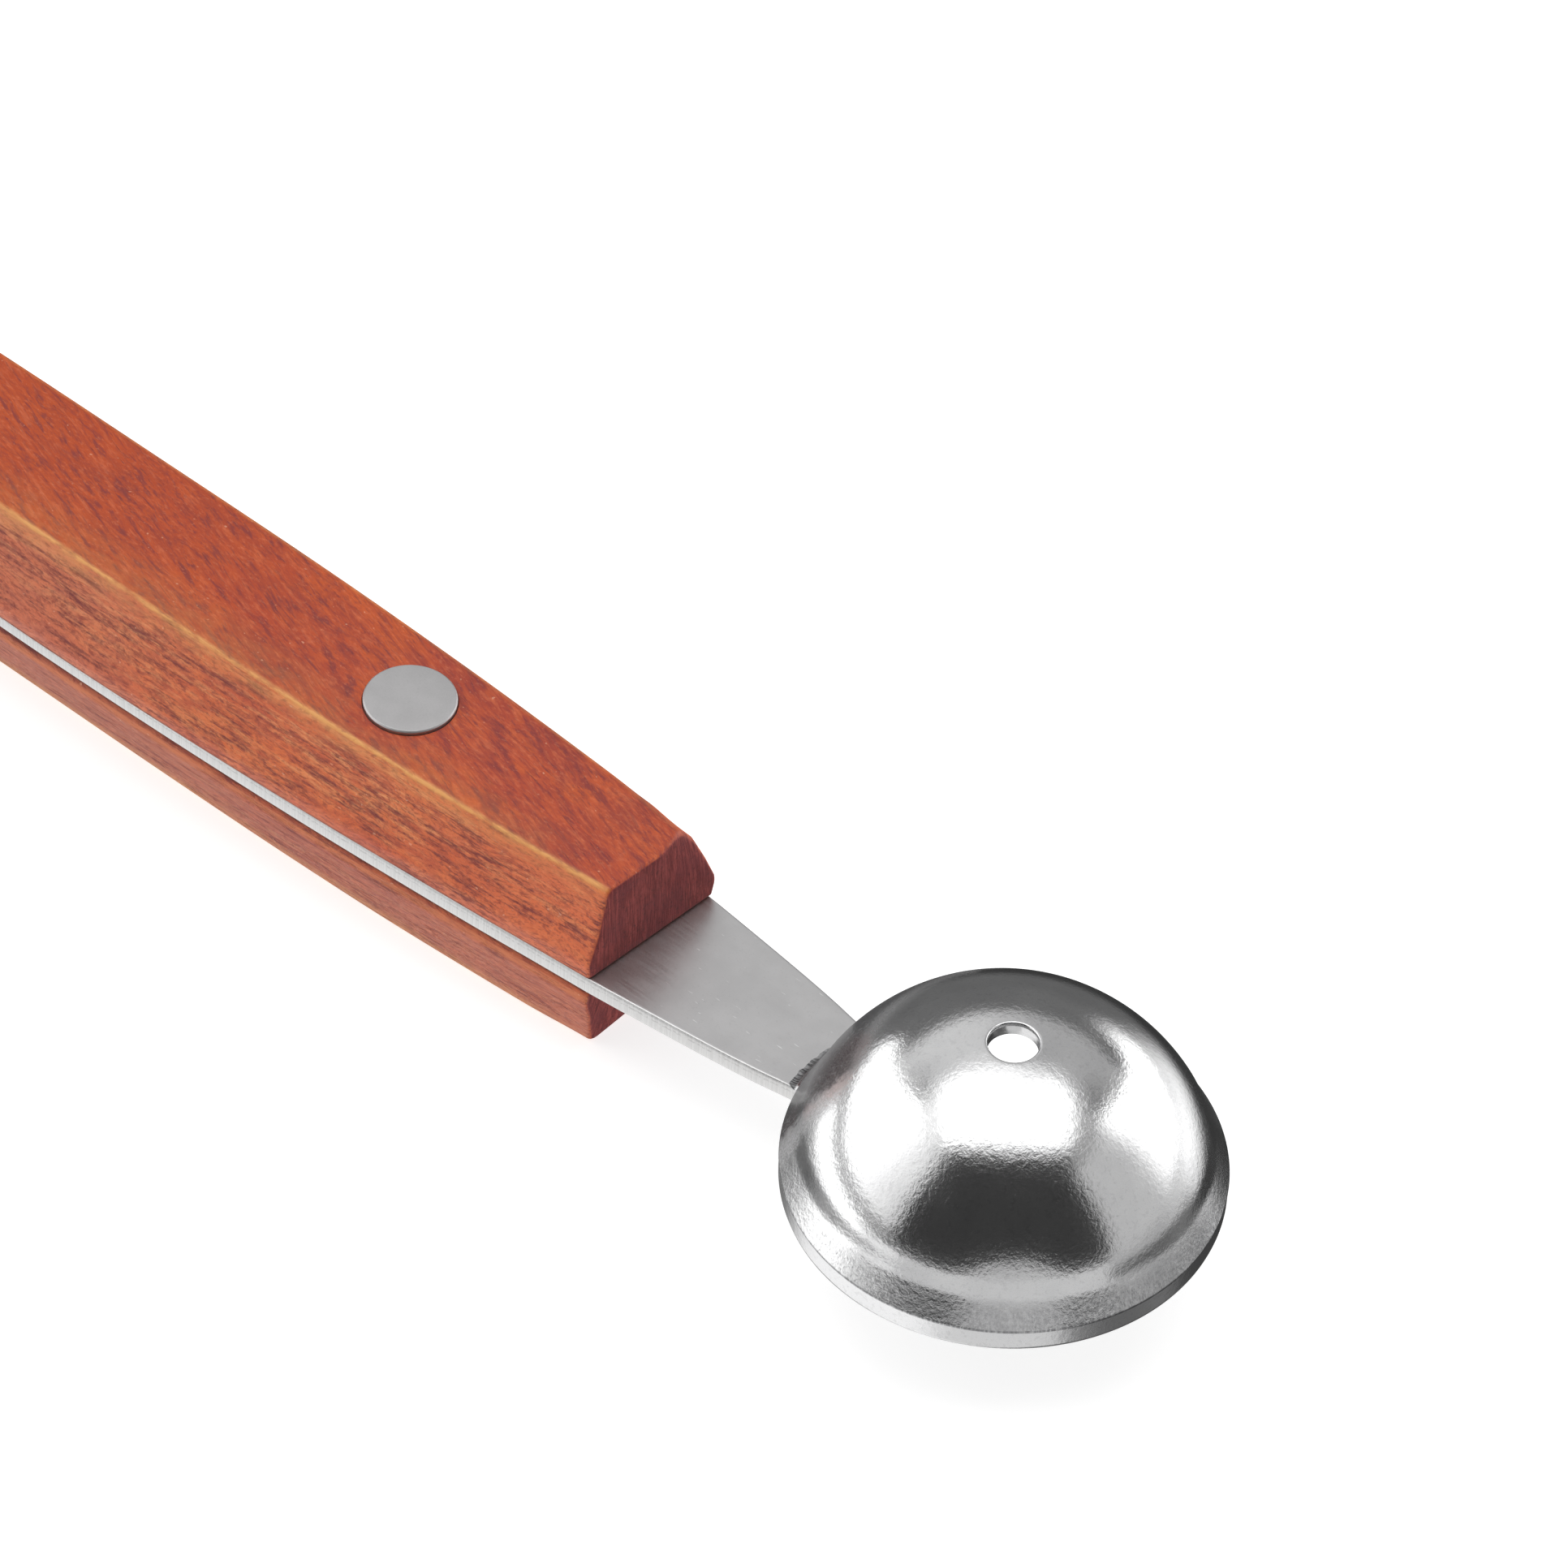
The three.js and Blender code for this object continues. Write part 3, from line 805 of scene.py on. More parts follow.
def bowl_material(name, rim, land, flare_top, toward, joint_z):
    m, N = material(name)
    P = N.coords_mm()
    x, y, z = N.split(P)
    r = N.math("SQRT", N.math("ADD", N.math("MULTIPLY", x, x), N.math("MULTIPLY", y, y)))
    # fine grain of the polished sheet
    grain = N.noise(P, 8.5, 3.0, 0.65)
    fine = N.noise(P, 16.0, 2.0, 0.6)
    cloud = N.noise(P, 0.35, 3.0, 0.55)
    # faint rings left by the polishing wheel, and stray scratches over the dome
    wheel = N.noise(N.scaled(P, (0.5, 0.5, 9.0)), 1.0, 3.0, 0.65)
    stray = N.noise(N.scaled(P, (7.0, 0.6, 1.5), (0.3, 0.2, 0.9)), 1.0, 2.0, 0.5, 0.4)
    stray = N.ramp(stray, 0.66, 0.74)
    # ground flare: scratches that run down the wall, in patches round the rim
    streak_a = N.noise(N.scaled(P, (5.5, 5.5, 0.10)), 1.0, 3.0, 0.7)
    streak_b = N.noise(N.scaled(P, (13.0, 13.0, 0.25)), 1.0, 1.0, 0.7)
    streaks = N.math("ADD", N.math("MULTIPLY", streak_a, 0.6), N.math("MULTIPLY", streak_b, 0.4))
    patches = N.ramp(N.noise(N.scaled(P, (0.30, 0.30, 0.05)), 1.0, 2.0, 0.5), 0.47, 0.60)
    worked = patches
    rs = N.math("MAXIMUM", r, 0.1)
    for deg, half in ((-98, 8), (-18, 9), (16, 11), (58, 6), (112, 10), (-148, 7)):
        a = math.radians(deg if toward > 0 else 180 - deg)
        c = N.math("DIVIDE", N.math("ADD", N.math("MULTIPLY", x, math.cos(a)), N.math("MULTIPLY", y, math.sin(a))), rs)
        c = N.ramp(c, math.cos(math.radians(half + 3)), math.cos(math.radians(half * 0.45)))
        worked = N.math("MAXIMUM", worked, c)
    patches = worked
    fuzz = N.math("MULTIPLY", N.math("SUBTRACT", streak_a, 0.5), N.mixf(patches, 0.6, 2.6))
    zf = N.math("ADD", z, fuzz)
    in_flare = N.math("MULTIPLY", N.ramp(z, land - 0.02, land + 0.06), N.ramp(zf, flare_top + 0.3, flare_top - 0.7))
    outside = N.ramp(N.math("ADD", N.math("MULTIPLY", r, r), N.math("POWER", N.math("ADD", z, 1.28 * rim / 14.0), 2.0)),
                     (rim - 0.75) ** 2, (rim - 0.6) ** 2)
    in_flare = N.math("MULTIPLY", in_flare, outside)
    on_land = N.math("MULTIPLY", N.ramp(z, land + 0.02, land - 0.04), outside)
    crease_shade = N.math("MULTIPLY", N.math("MULTIPLY", N.ramp(z, land - 0.16, land - 0.06), N.ramp(z, land + 0.14, land + 0.04)), outside)
    grind = N.math("MULTIPLY", in_flare, N.mixf(patches, 0.22, 1.0))
    lines = N.ramp(streaks, 0.54, 0.63)
    coarse = N.noise(P, 2.9, 2.0, 0.62, 0.2)
    rough = N.mixf(N.ramp(grain, 0.35, 0.7), 0.130, 0.180)
    rough = N.math("ADD", rough, N.math("MULTIPLY", N.math("SUBTRACT", cloud, 0.5), 0.05))
    rough = N.math("ADD", rough, N.math("MULTIPLY", stray, 0.05))
    rough = N.mixf(grind, rough, N.ramp(streaks, 0.35, 0.65, 0.14, 0.27))
    rough = N.mixf(on_land, rough, 0.22)
    rough = N.mixf(outside, N.mixf(N.ramp(wheel, 0.4, 0.6), 0.20, 0.30), rough)
    tone = N.mix(N.ramp(cloud, 0.3, 0.7), (0.610, 0.610, 0.615), (0.665, 0.665, 0.667))
    tone = N.mix(N.math("MULTIPLY", grind, N.math("MULTIPLY", lines, 0.70)), tone, (0.27, 0.27, 0.275))
    # the flare is darker on the side away from the neck: heavier grinding there, and a painted dark reflection
    away = N.ramp(N.math("MULTIPLY", N.math("SUBTRACT", N.math("MULTIPLY", x, 1.0 * toward), N.math("MULTIPLY", y, 0.45)), 1.0 / rim), 0.10, 0.80)
    grind_and_dark_reflection = N.math("MULTIPLY", N.math("MULTIPLY", in_flare, away), N.ramp(streak_a, 0.34, 0.60, 0.45, 1.0))
    tone = N.mix(N.math("MULTIPLY", grind_and_dark_reflection, 0.42), tone, (0.23, 0.23, 0.235))
    # a speckled dark patch round the neck: painted reflection
    spots = N.noise(P, 8.0, 3.0, 0.75)
    wander = N.math("SUBTRACT", N.noise(P, 1.6, 3.0, 0.7), 0.5)
    facing = N.math("DIVIDE", N.math("MULTIPLY", x, -1.0 * toward), N.math("MAXIMUM", r, 0.1))
    facing = N.math("ADD", facing, N.math("ADD", N.math("MULTIPLY", wander, 0.10), N.math("MULTIPLY", N.math("SUBTRACT", spots, 0.5), 0.09)))
    above = N.math("ADD", N.math("SUBTRACT", z, joint_z), N.math("MULTIPLY", N.math("SUBTRACT", spots, 0.5), 1.6))
    painted_neck_reflection = N.math("MULTIPLY", N.math("MULTIPLY", N.ramp(facing, 0.775, 0.825), outside),
                   N.math("MULTIPLY", N.ramp(above, 0.45, 1.0), N.ramp(above, 0.70 * rim, 0.56 * rim)))
    painted_neck_reflection = N.math("MULTIPLY", painted_neck_reflection, 0.94)
    # a pale painted sheen at the edge of that painted reflection
    painted_neck_sheen = N.math("MULTIPLY", N.math("MULTIPLY", N.ramp(facing, 0.66, 0.745), outside),
                  N.math("MULTIPLY", N.ramp(above, 0.45, 1.0), N.ramp(above, 0.66 * rim, 0.50 * rim)))
    painted_neck_sheen = N.math("MULTIPLY", painted_neck_sheen, 0.80)
    tone = N.mix(painted_neck_sheen, tone, N.mix(N.ramp(spots, 0.38, 0.64), (0.330, 0.330, 0.333), (0.560, 0.560, 0.565)))
    tone = N.mix(painted_neck_reflection, tone, N.mix(N.ramp(spots, 0.38, 0.64), (0.035, 0.035, 0.036), (0.130, 0.130, 0.133)))
    rough = N.mixf(painted_neck_reflection, rough, 0.26)
    shine = N.mixf(painted_neck_reflection, N.mixf(painted_neck_sheen, 1.0, 0.25), N.ramp(spots, 0.40, 0.68, 0.12, 0.50))
    tone = N.mix(N.math("MULTIPLY", on_land, 0.75), tone, (0.74, 0.74, 0.745))
    # a thin dark line painted along the crease under the lip: painted shade
    tone = N.mix(N.math("MULTIPLY", crease_shade, N.ramp(streak_a, 0.30, 0.60, 0.25, 0.85)), tone, (0.16, 0.16, 0.165))
    tone = N.mix(N.math("MULTIPLY", N.ramp(fine, 0.57, 0.70), 0.30), tone, (0.42, 0.42, 0.425))
    tone = N.mix(N.math("MULTIPLY", N.math("MULTIPLY", N.ramp(coarse, 0.56, 0.68), outside), 0.20), tone, (0.40, 0.40, 0.405))
    n0 = N.bump(coarse, 0.60, 0.0225)
    n1 = N.bump(grain, 0.60, 0.0062, n0)
    n2 = N.bump(fine, 0.65, 0.0030, n1)
    n3 = N.bump(N.math("MULTIPLY", streaks, grind), 0.7, 0.005, n2)
    n4 = N.bump(N.math("MULTIPLY", wheel, N.math("SUBTRACT", 1.0, outside)), 0.5, 0.010, n3)
    n5 = N.bump(stray, 0.25, -0.004, n4)
    N.principled(Base_Color=tone, Metallic=shine, Roughness=rough, Normal=n5)
    return m


def tang_material():
    m, N = material("tang_steel")
    P = N.coords_mm()
    x, y, z = N.split(P)
    tc = N.n("ShaderNodeTexCoord")
    nx, ny, nz = N.split(tc.outputs["Normal"])
    flat = N.ramp(N.math("ABSOLUTE", nz), 0.88, 0.985)
    wall = N.math("SUBTRACT", 1.0, flat)
    mill = N.noise(N.scaled(P, (0.35, 7.0, 1.0), (0, 0, 0.10)), 1.0, 4.0, 0.7)
    cross = N.noise(N.scaled(P, (7.0, 0.5, 1.0), (0, 0, 0.45)), 1.0, 3.0, 0.6)
    speck = N.noise(P, 6.0, 3.0, 0.65)
    cloud = N.noise(P, 0.30, 3.0, 0.6)
    nick = N.noise(N.scaled(P, (0.7, 6.0, 1.0), (0, 0, -0.5)), 1.0, 2.0, 0.5, 0.4)
    nick2 = N.noise(N.scaled(P, (1.1, 6.0, 1.0), (0, 0, 0.75), (7, 3, 0)), 1.0, 1.0, 0.4, 0.15)
    nicks = N.math("MAXIMUM", N.ramp(nick, 0.72, 0.77), N.ramp(nick2, 0.735, 0.78))
    shear = N.noise(N.scaled(P, (6.5, 6.5, 0.25)), 1.0, 3.0, 0.65)
    dots = N.noise(N.scaled(P, (4.5, 4.5, 6.0), (0, 0, 0), (3, 1, 2)), 1.0, 2.0, 0.6)
    # the sheared edge: a dotted dark break line a third of the way down, burnished above and below
    brk = N.math("ABSOLUTE", N.math("SUBTRACT", N.math("ADD", z, N.math("MULTIPLY", N.math("SUBTRACT", shear, 0.5), 0.25)), TANG_Z1 - 0.42))
    line = N.math("MULTIPLY", N.ramp(brk, 0.11, 0.03), N.ramp(dots, 0.42, 0.58))
    rough = N.mixf(N.ramp(mill, 0.3, 0.7), 0.32, 0.40)
    rough = N.math("ADD", rough, N.math("MULTIPLY", N.math("SUBTRACT", cloud, 0.5), 0.06))
    rough = N.mixf(nicks, rough, 0.30)
    rough = N.mixf(flat, N.mixf(N.ramp(shear, 0.35, 0.65), 0.34, 0.46), rough)
    tone = N.mix(N.ramp(cloud, 0.3, 0.7), (0.505, 0.500, 0.502), (0.545, 0.540, 0.542))
    tone = N.mix(N.math("MULTIPLY", N.ramp(speck, 0.56, 0.70), 0.30), tone, (0.42, 0.415, 0.415))
    tone = N.mix(N.math("MULTIPLY", nicks, 0.50), tone, (0.90, 0.90, 0.90))
    edge_tone = N.mix(N.ramp(shear, 0.38, 0.62), (0.60, 0.595, 0.59), (0.72, 0.715, 0.71))
    edge_tone = N.mix(N.math("MULTIPLY", line, 0.34), edge_tone, (0.25, 0.245, 0.24))
    tone = N.mix(flat, edge_tone, tone)
    n1 = N.bump(N.math("MULTIPLY", mill, flat), 0.30, 0.006)
    n2 = N.bump(N.math("MULTIPLY", cross, flat), 0.20, 0.004, n1)
    n3 = N.bump(speck, 0.25, 0.006, n2)
    n4 = N.bump(N.math("MULTIPLY", shear, wall), 0.5, 0.009, n3)
    N.principled(Base_Color=tone, Metallic=1.0, Roughness=rough, Normal=n4)
    return m


def weld_material(name, wall, toward):
    m, N = material(name)
    P = N.coords_mm()
    x, y, z = N.split(P)
    r = N.math("SQRT", N.math("ADD", N.math("MULTIPLY", x, x), N.math("MULTIPLY", y, y)))
    striae = N.noise(N.scaled(P, (0.9, 8.5, 0.9)), 1.0, 3.0, 0.65, 0.2)
    grain = N.noise(P, 8.0, 2.0, 0.6)
    along = N.ramp(N.math("MULTIPLY", y, toward), 2.2, -2.4)
    # the root of the bead, where it meets the tang, is darkened, wide on one side and running out on the other: partly
    # scorch, partly painted shade and reflection
    inner = N.mixf(along, wall + 0.72, wall + 0.50)
    scorch_and_shade = N.ramp(N.math("ADD", r, N.math("MULTIPLY", N.math("SUBTRACT", striae, 0.5), 0.35)), inner, N.math("ADD", inner, 0.14))
    scorch_and_shade = N.math("MULTIPLY", scorch_and_shade, N.mixf(along, 0.15, 1.0))
    tone = N.mix(N.ramp(grain, 0.35, 0.65), (0.40, 0.40, 0.405), (0.50, 0.50, 0.505))
    dark = N.mix(N.ramp(striae, 0.40, 0.62), (0.06, 0.06, 0.062), (0.34, 0.34, 0.345))
    tone = N.mix(scorch_and_shade, tone, dark)
    rough = N.mixf(scorch_and_shade, 0.27, 0.46)
    n1 = N.bump(N.math("MULTIPLY", striae, scorch_and_shade), 0.8, 0.03)
    n2 = N.bump(grain, 0.4, 0.010, n1)
    N.principled(Base_Color=tone, Metallic=1.0, Roughness=rough, Normal=n2)
    return m


def rivet_material():
    m, N = material("rivet_steel")
    P = N.coords_mm()
    linear = N.noise(N.scaled(P, (0.6, 9.0, 1.0), (0, 0, 0.7)), 1.0, 4.0, 0.7)
    grain = N.noise(P, 10.0, 3.0, 0.65)
    cloud = N.noise(P, 0.7, 2.0, 0.5)
    rough = N.mixf(N.ramp(grain, 0.3, 0.7), 0.44, 0.56)
    tone = N.mix(N.ramp(cloud, 0.3, 0.7), (0.445, 0.438, 0.440), (0.475, 0.468, 0.470))
    tone = N.mix(N.math("MULTIPLY", N.ramp(grain, 0.58, 0.72), 0.25), tone, (0.38, 0.375, 0.37))
    n1 = N.bump(linear, 0.35, 0.006)
    n2 = N.bump(grain, 0.35, 0.008, n1)
    N.principled(Base_Color=tone, Metallic=1.0, Roughness=rough, Normal=n2)
    return m


def wood_material(name, shift, dive_deg):
    m, N = material(name)
    P = N.coords_mm()
    tc = N.n("ShaderNodeTexCoord")
    nx, ny, nz = N.split(tc.outputs["Normal"])
    end_face = N.ramp(N.math("ABSOLUTE", nx), 0.70, 0.93)
    not_end = N.math("SUBTRACT", 1.0, end_face)
    side_face = N.math("MULTIPLY", N.ramp(N.math("ABSOLUTE", ny), 0.50, 0.85), not_end)
    # the fibres run 16 degrees off the handle in plan and dive a little, so they come up as short flecks
    plan, dive = math.radians(-16), math.radians(dive_deg)
    f = Vector((math.cos(plan) * math.cos(dive), math.sin(plan) * math.cos(dive), math.sin(dive)))
    g = Vector((0, 0, 1)).cross(f).normalized()
    h = f.cross(g)
    axes = []
    for axis in (f, g, h):
        d = N.n("ShaderNodeVectorMath", operation="DOT_PRODUCT")
        N.link(P, d.inputs[0])
        d.inputs[1].default_value = axis
        axes.append(d.outputs["Value"])
    cmb = N.n("ShaderNodeCombineXYZ")
    for k in range(3):
        N.link(axes[k], cmb.inputs[k])
    W = N.scaled(cmb.outputs[0], (1, 1, 1), (0, 0, 0), shift)
    # slow wander of the grain
    wander = N.noise(N.scaled(W, (0.05, 0.22, 0.22)), 1.0, 2.0, 0.5)
    wander2 = N.noise(N.scaled(W, (0.30, 0.9, 0.9), (0, 0, 0), (5, 5, 5)), 1.0, 1.0, 0.5)
    off = N.math("ADD", N.math("MULTIPLY", N.math("SUBTRACT", wander, 0.5), 2.6), N.math("MULTIPLY", N.math("SUBTRACT", wander2, 0.5), 0.35))
    oc = N.n("ShaderNodeCombineXYZ")
    N.link(off, oc.inputs[1])
    N.link(off, oc.inputs[2])
    add = N.n("ShaderNodeVectorMath", operation="ADD")
    N.link(W, add.inputs[0])
    N.link(oc.outputs[0], add.inputs[1])
    G = add.outputs[0]
    half_t = (TANG_Z1 - TANG_Z0) / 2
    broad = N.noise(N.scaled(G, (0.035, 0.20, 0.30)), 1.0, 3.0, 0.6)
    cloud = N.noise(N.scaled(P, (0.14, 0.30, 0.30)), 1.0, 3.0, 0.6)
    mottle = N.noise(N.scaled(G, (0.35, 1.1, 1.1), (0, 0, 0), (2, 8, 5)), 1.0, 3.0, 0.6)
    bands = N.noise(N.scaled(G, (0.04, 1.5, 0.9), (0, 0, 0), (9, 2, 4)), 1.0, 3.0, 0.6)
    fibre = N.noise(N.scaled(G, (0.22, 4.6, 4.6)), 1.0, 3.0, 0.62)
    fibre_f = N.noise(N.scaled(G, (0.75, 11.0, 11.0)), 1.0, 2.0, 0.6)
    fleck_n = N.noise(N.scaled(P, (0.22, 2.2, 2.9), (0, 0, 0), (31, 7, 3)), 1.0, 4.0, 0.72)
    fleck_s = N.noise(N.scaled(G, (0.55, 5.2, 5.2), (0, 0, 0), (3, 27, 13)), 1.0, 2.0, 0.6)
    crumb = N.noise(N.scaled(P, (2.4, 5.0, 5.0), (0, 0, 0), (13, 2, 37)), 1.0, 3.0, 0.7)
    # flecks gather in a band below the ridge, more of it towards the end
    x, y, z = N.split(P)
    high = N.math("ABSOLUTE", N.math("SUBTRACT", z, (TANG_Z0 + TANG_Z1) / 2))
    belt = N.math("MULTIPLY", N.ramp(high, 1.6, 3.2), N.ramp(high, 6.9, 5.2))
    zone_n = N.noise(N.scaled(P, (0.16, 0.50, 0.75), (0, 0, 0), (3, 41, 9)), 1.0, 3.0, 0.6)
    zone = N.ramp(N.math("ADD", zone_n, N.math("MULTIPLY", belt, 0.16 if dive_deg > 0 else 0.02)), 0.44, 0.62)
    gold_n = N.noise(N.scaled(P, (0.10, 1.3, 1.6), (0, 0, 0), (17, 3, 29)), 1.0, 3.0, 0.6)
    gold_f = N.noise(N.scaled(P, (0.60, 4.2, 4.2), (0, 0, 0), (7, 13, 2)), 1.0, 3.0, 0.65)
    # ground colour of the flat face
    top = N.mix(N.ramp(broad, 0.34, 0.66), (0.400, 0.048, 0.020), (0.490, 0.078, 0.022))
    top = N.mix(N.math("MULTIPLY", N.ramp(cloud, 0.46, 0.66), 0.75), top, (0.310, 0.038, 0.022))
    top = N.mix(N.math("MULTIPLY", N.ramp(cloud, 0.46, 0.30), 0.55), top, (0.600, 0.105, 0.014))
    top = N.mix(N.math("MULTIPLY", N.ramp(mottle, 0.48, 0.66), 0.62), top, (0.265, 0.034, 0.024))
    top = N.mix(N.math("MULTIPLY", N.ramp(mottle, 0.48, 0.32), 0.40), top, (0.570, 0.105, 0.022))
    top = N.mix(N.math("MULTIPLY", N.ramp(bands, 0.52, 0.70), 0.35), top, (0.290, 0.036, 0.018))
    top = N.mix(N.math("MULTIPLY", N.ramp(fibre, 0.46, 0.30), 0.30), top, (0.600, 0.140, 0.042))
    # ground colour of the slanted sides: lighter, with golden and pinkish streaks
    side = N.mix(N.ramp(broad, 0.36, 0.64), (0.600, 0.108, 0.036), (0.680, 0.155, 0.046))
    side = N.mix(N.math("MULTIPLY", N.ramp(mottle, 0.46, 0.62), 0.55), side, (0.420, 0.072, 0.036))
    gold = N.math("MULTIPLY", N.ramp(gold_n, 0.42, 0.64), N.ramp(gold_f, 0.34, 0.66))
    side = N.mix(N.math("MULTIPLY", gold, N.ramp(high, 1.2, 4.5, 0.30, 0.85)), side, (0.790, 0.320, 0.120))
    side = N.mix(N.math("MULTIPLY", N.ramp(x, 14.0, -4.0), 0.50), side, (0.560, 0.185, 0.105))
    side = N.mix(N.math("MULTIPLY", N.ramp(x, 26.0, 43.0), 0.55), side, (0.760, 0.185, 0.062))
    top = N.mix(N.math("MULTIPLY", N.ramp(x, 34.0, -14.0), 0.75), top, (0.470, 0.062, 0.004))
    if dive_deg < 0:  # the lower scale is plainer, and its sides darker and browner
        side = N.mix(0.55, side, (0.300, 0.058, 0.026))
    base = N.mix(side_face, top, side)
    # short soft flecks on the flat face, and a fine crumble all over
    dash = N.noise(N.scaled(G, (0.36, 2.3, 2.3), (0, 0, 0), (5, 19, 23)), 1.0, 3.0, 0.68)
    base = N.mix(N.math("MULTIPLY", N.ramp(dash, 0.51, 0.67), N.mixf(side_face, 0.78, 0.30)), base, (0.200, 0.028, 0.028))
    base = N.mix(N.math("MULTIPLY", N.ramp(dash, 0.47, 0.32), 0.42), base, (0.640, 0.150, 0.055))
    base = N.mix(N.math("MULTIPLY", N.ramp(crumb, 0.52, 0.72), 0.30), base, (0.240, 0.036, 0.030))
    base = N.mix(N.math("MULTIPLY", N.ramp(crumb, 0.46, 0.30), 0.26), base, (0.720, 0.240, 0.120))
    # fibres and flecks
    base = N.mix(N.math("MULTIPLY", N.ramp(fibre, 0.50, 0.72), N.mixf(side_face, 0.40, 0.65)), base, (0.235, 0.034, 0.026))
    base = N.mix(N.math("MULTIPLY", N.ramp(fibre_f, 0.52, 0.74), 0.38), base, (0.230, 0.034, 0.026))
    big = N.math("MULTIPLY", N.ramp(N.math("ADD", fleck_n, N.math("MULTIPLY", N.math("SUBTRACT", crumb, 0.5), 0.35)), 0.46, 0.68), N.mixf(side_face, 0.30, 0.95))
    big = N.math("MULTIPLY", big, N.mixf(zone, N.mixf(side_face, 0.30, 0.10), 1.0))
    small = N.math("MULTIPLY", N.ramp(fleck_s, 0.58, 0.72), N.mixf(side_face, 0.42, 0.40))
    pores = N.math("MULTIPLY", N.math("MAXIMUM", big, small), not_end)
    base = N.mix(N.math("MULTIPLY", pores, 0.88), base, (0.165, 0.031, 0.034))
    if dive_deg < 0:
        # a painted orange highlight along the lower scale's rounded edge next to the tang
        lip = N.math("MULTIPLY", N.ramp(high, half_t + 0.42, half_t + 0.62), N.ramp(high, half_t + 1.25, half_t + 0.80))
        base = N.mix(N.math("MULTIPLY", N.math("MULTIPLY", lip, not_end), N.ramp(gold_f, 0.30, 0.60, 0.25, 0.75)), base, (0.640, 0.190, 0.070))
    # painted shade along the joint with the tang, heavier on the lower scale
    joint_shade = N.ramp(high, (TANG_Z1 - TANG_Z0) / 2 + 0.34, (TANG_Z1 - TANG_Z0) / 2 + 0.08)
    base = N.mix(N.math("MULTIPLY", joint_shade, (0.85 if "lower" in name else 0.55)), base, (0.055, 0.018, 0.014))
    # pale specks where the finish has lifted
    speck = N.ramp(N.noise(N.scaled(P, (2.2, 3.0, 3.0), (0, 0, 0), (7, 7, 7)), 1.0, 1.0, 0.5), 0.735, 0.80)
    base = N.mix(N.math("MULTIPLY", speck, 0.45), base, (0.760, 0.420, 0.270))
    # end grain: darker and duller, with the saw's fine scratches
    saw = N.noise(N.scaled(P, (1.0, 8.0, 0.55), (0.10, 0, 0)), 1.0, 4.0, 0.75)
    dots = N.noise(P, 4.5, 3.0, 0.6)
    blot = N.noise(P, 0.55, 2.0, 0.5)
    endc = N.mix(N.ramp(saw, 0.42, 0.66), (0.165, 0.022, 0.022), (0.375, 0.070, 0.060))
    endc = N.mix(N.math("MULTIPLY", N.ramp(blot, 0.40, 0.65), 0.45), endc, (0.170, 0.028, 0.034))
    endc = N.mix(N.math("MULTIPLY", N.ramp(dots, 0.56, 0.68), 0.55), endc, (0.070, 0.014, 0.016))
    base = N.mix(end_face, base, endc)
    # painted golden highlight along the ridges
    at = N.n("ShaderNodeAttribute", attribute_name="ridge_highlight")
    ridge_glint = N.math("MULTIPLY", at.outputs["Fac"], N.ramp(N.noise(N.scaled(P, (0.7, 2.0, 2.0)), 1.0, 3.0, 0.6), 0.30, 0.62, 0.40, 1.0))
    ridge_glint = N.math("MULTIPLY", ridge_glint, N.mixf(end_face, 1.0, 0.15))
    base = N.mix(N.math("MULTIPLY", N.math("MULTIPLY", ridge_glint, N.ramp(gold_f, 0.25, 0.60, 0.60, 1.0)), 0.92, clamp=True), base, (0.760, 0.360, 0.110))
    rough = N.mixf(N.ramp(fibre, 0.35, 0.65), 0.42, 0.54)
    rough = N.math("ADD", rough, N.math("MULTIPLY", pores, 0.20))
    rough = N.mixf(end_face, rough, 0.62)
    n1 = N.bump(fibre, 0.45, 0.035)
    n2 = N.bump(fibre_f, 0.35, 0.015, n1)
    n3 = N.bump(pores, 0.85, -0.07, n2)
    n4 = N.bump(N.math("MULTIPLY", saw, end_face), 0.8, 0.06, n3)
    p = N.principled(Base_Color=base, Roughness=rough, Normal=n4)
    p.inputs["Specular IOR Level"].default_value = 0.34
    p.inputs["Coat Weight"].default_value = 0.08
    p.inputs["Coat Roughness"].default_value = 0.34
    return m


def dress(ob, mat):
    ob.data.materials.clear()
    ob.data.materials.append(mat)


dress(bowl_large, bowl_material("bowl_large_steel", LARGE_R, 1.6, 3.4, 1, TANG_Z1 - LARGE_C[2]))
dress(bowl_small, bowl_material("bowl_small_steel", SMALL_R, 1.3, 2.75, -1, TANG_Z1 - SMALL_C[2]))
dress(tang, tang_material())
dress(weld_large, weld_material("weld_large_steel", LARGE_R, 1.0))
dress(weld_small, weld_material("weld_small_steel", SMALL_R, -1.0))
rm = rivet_material()
for male, female in rivets.values():
    dress(male, rm)
    dress(female, rm)
dress(scale_up, wood_material("wood_upper", (0.0, 0.0, 0.0), 6.0))
dress(scale_dn, wood_material("wood_lower", (40.0, 17.0, 9.0), -6.0))

shown = [bowl_large, bowl_small, tang, weld_large, weld_small, scale_up, scale_dn]
for male, female in rivets.values():
    shown += [male, female]
for ob in shown:
    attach(ob, "root")


# ---------------------------------------------------------------------------------------------
# Stage: pale floor, studio surroundings
# ---------------------------------------------------------------------------------------------

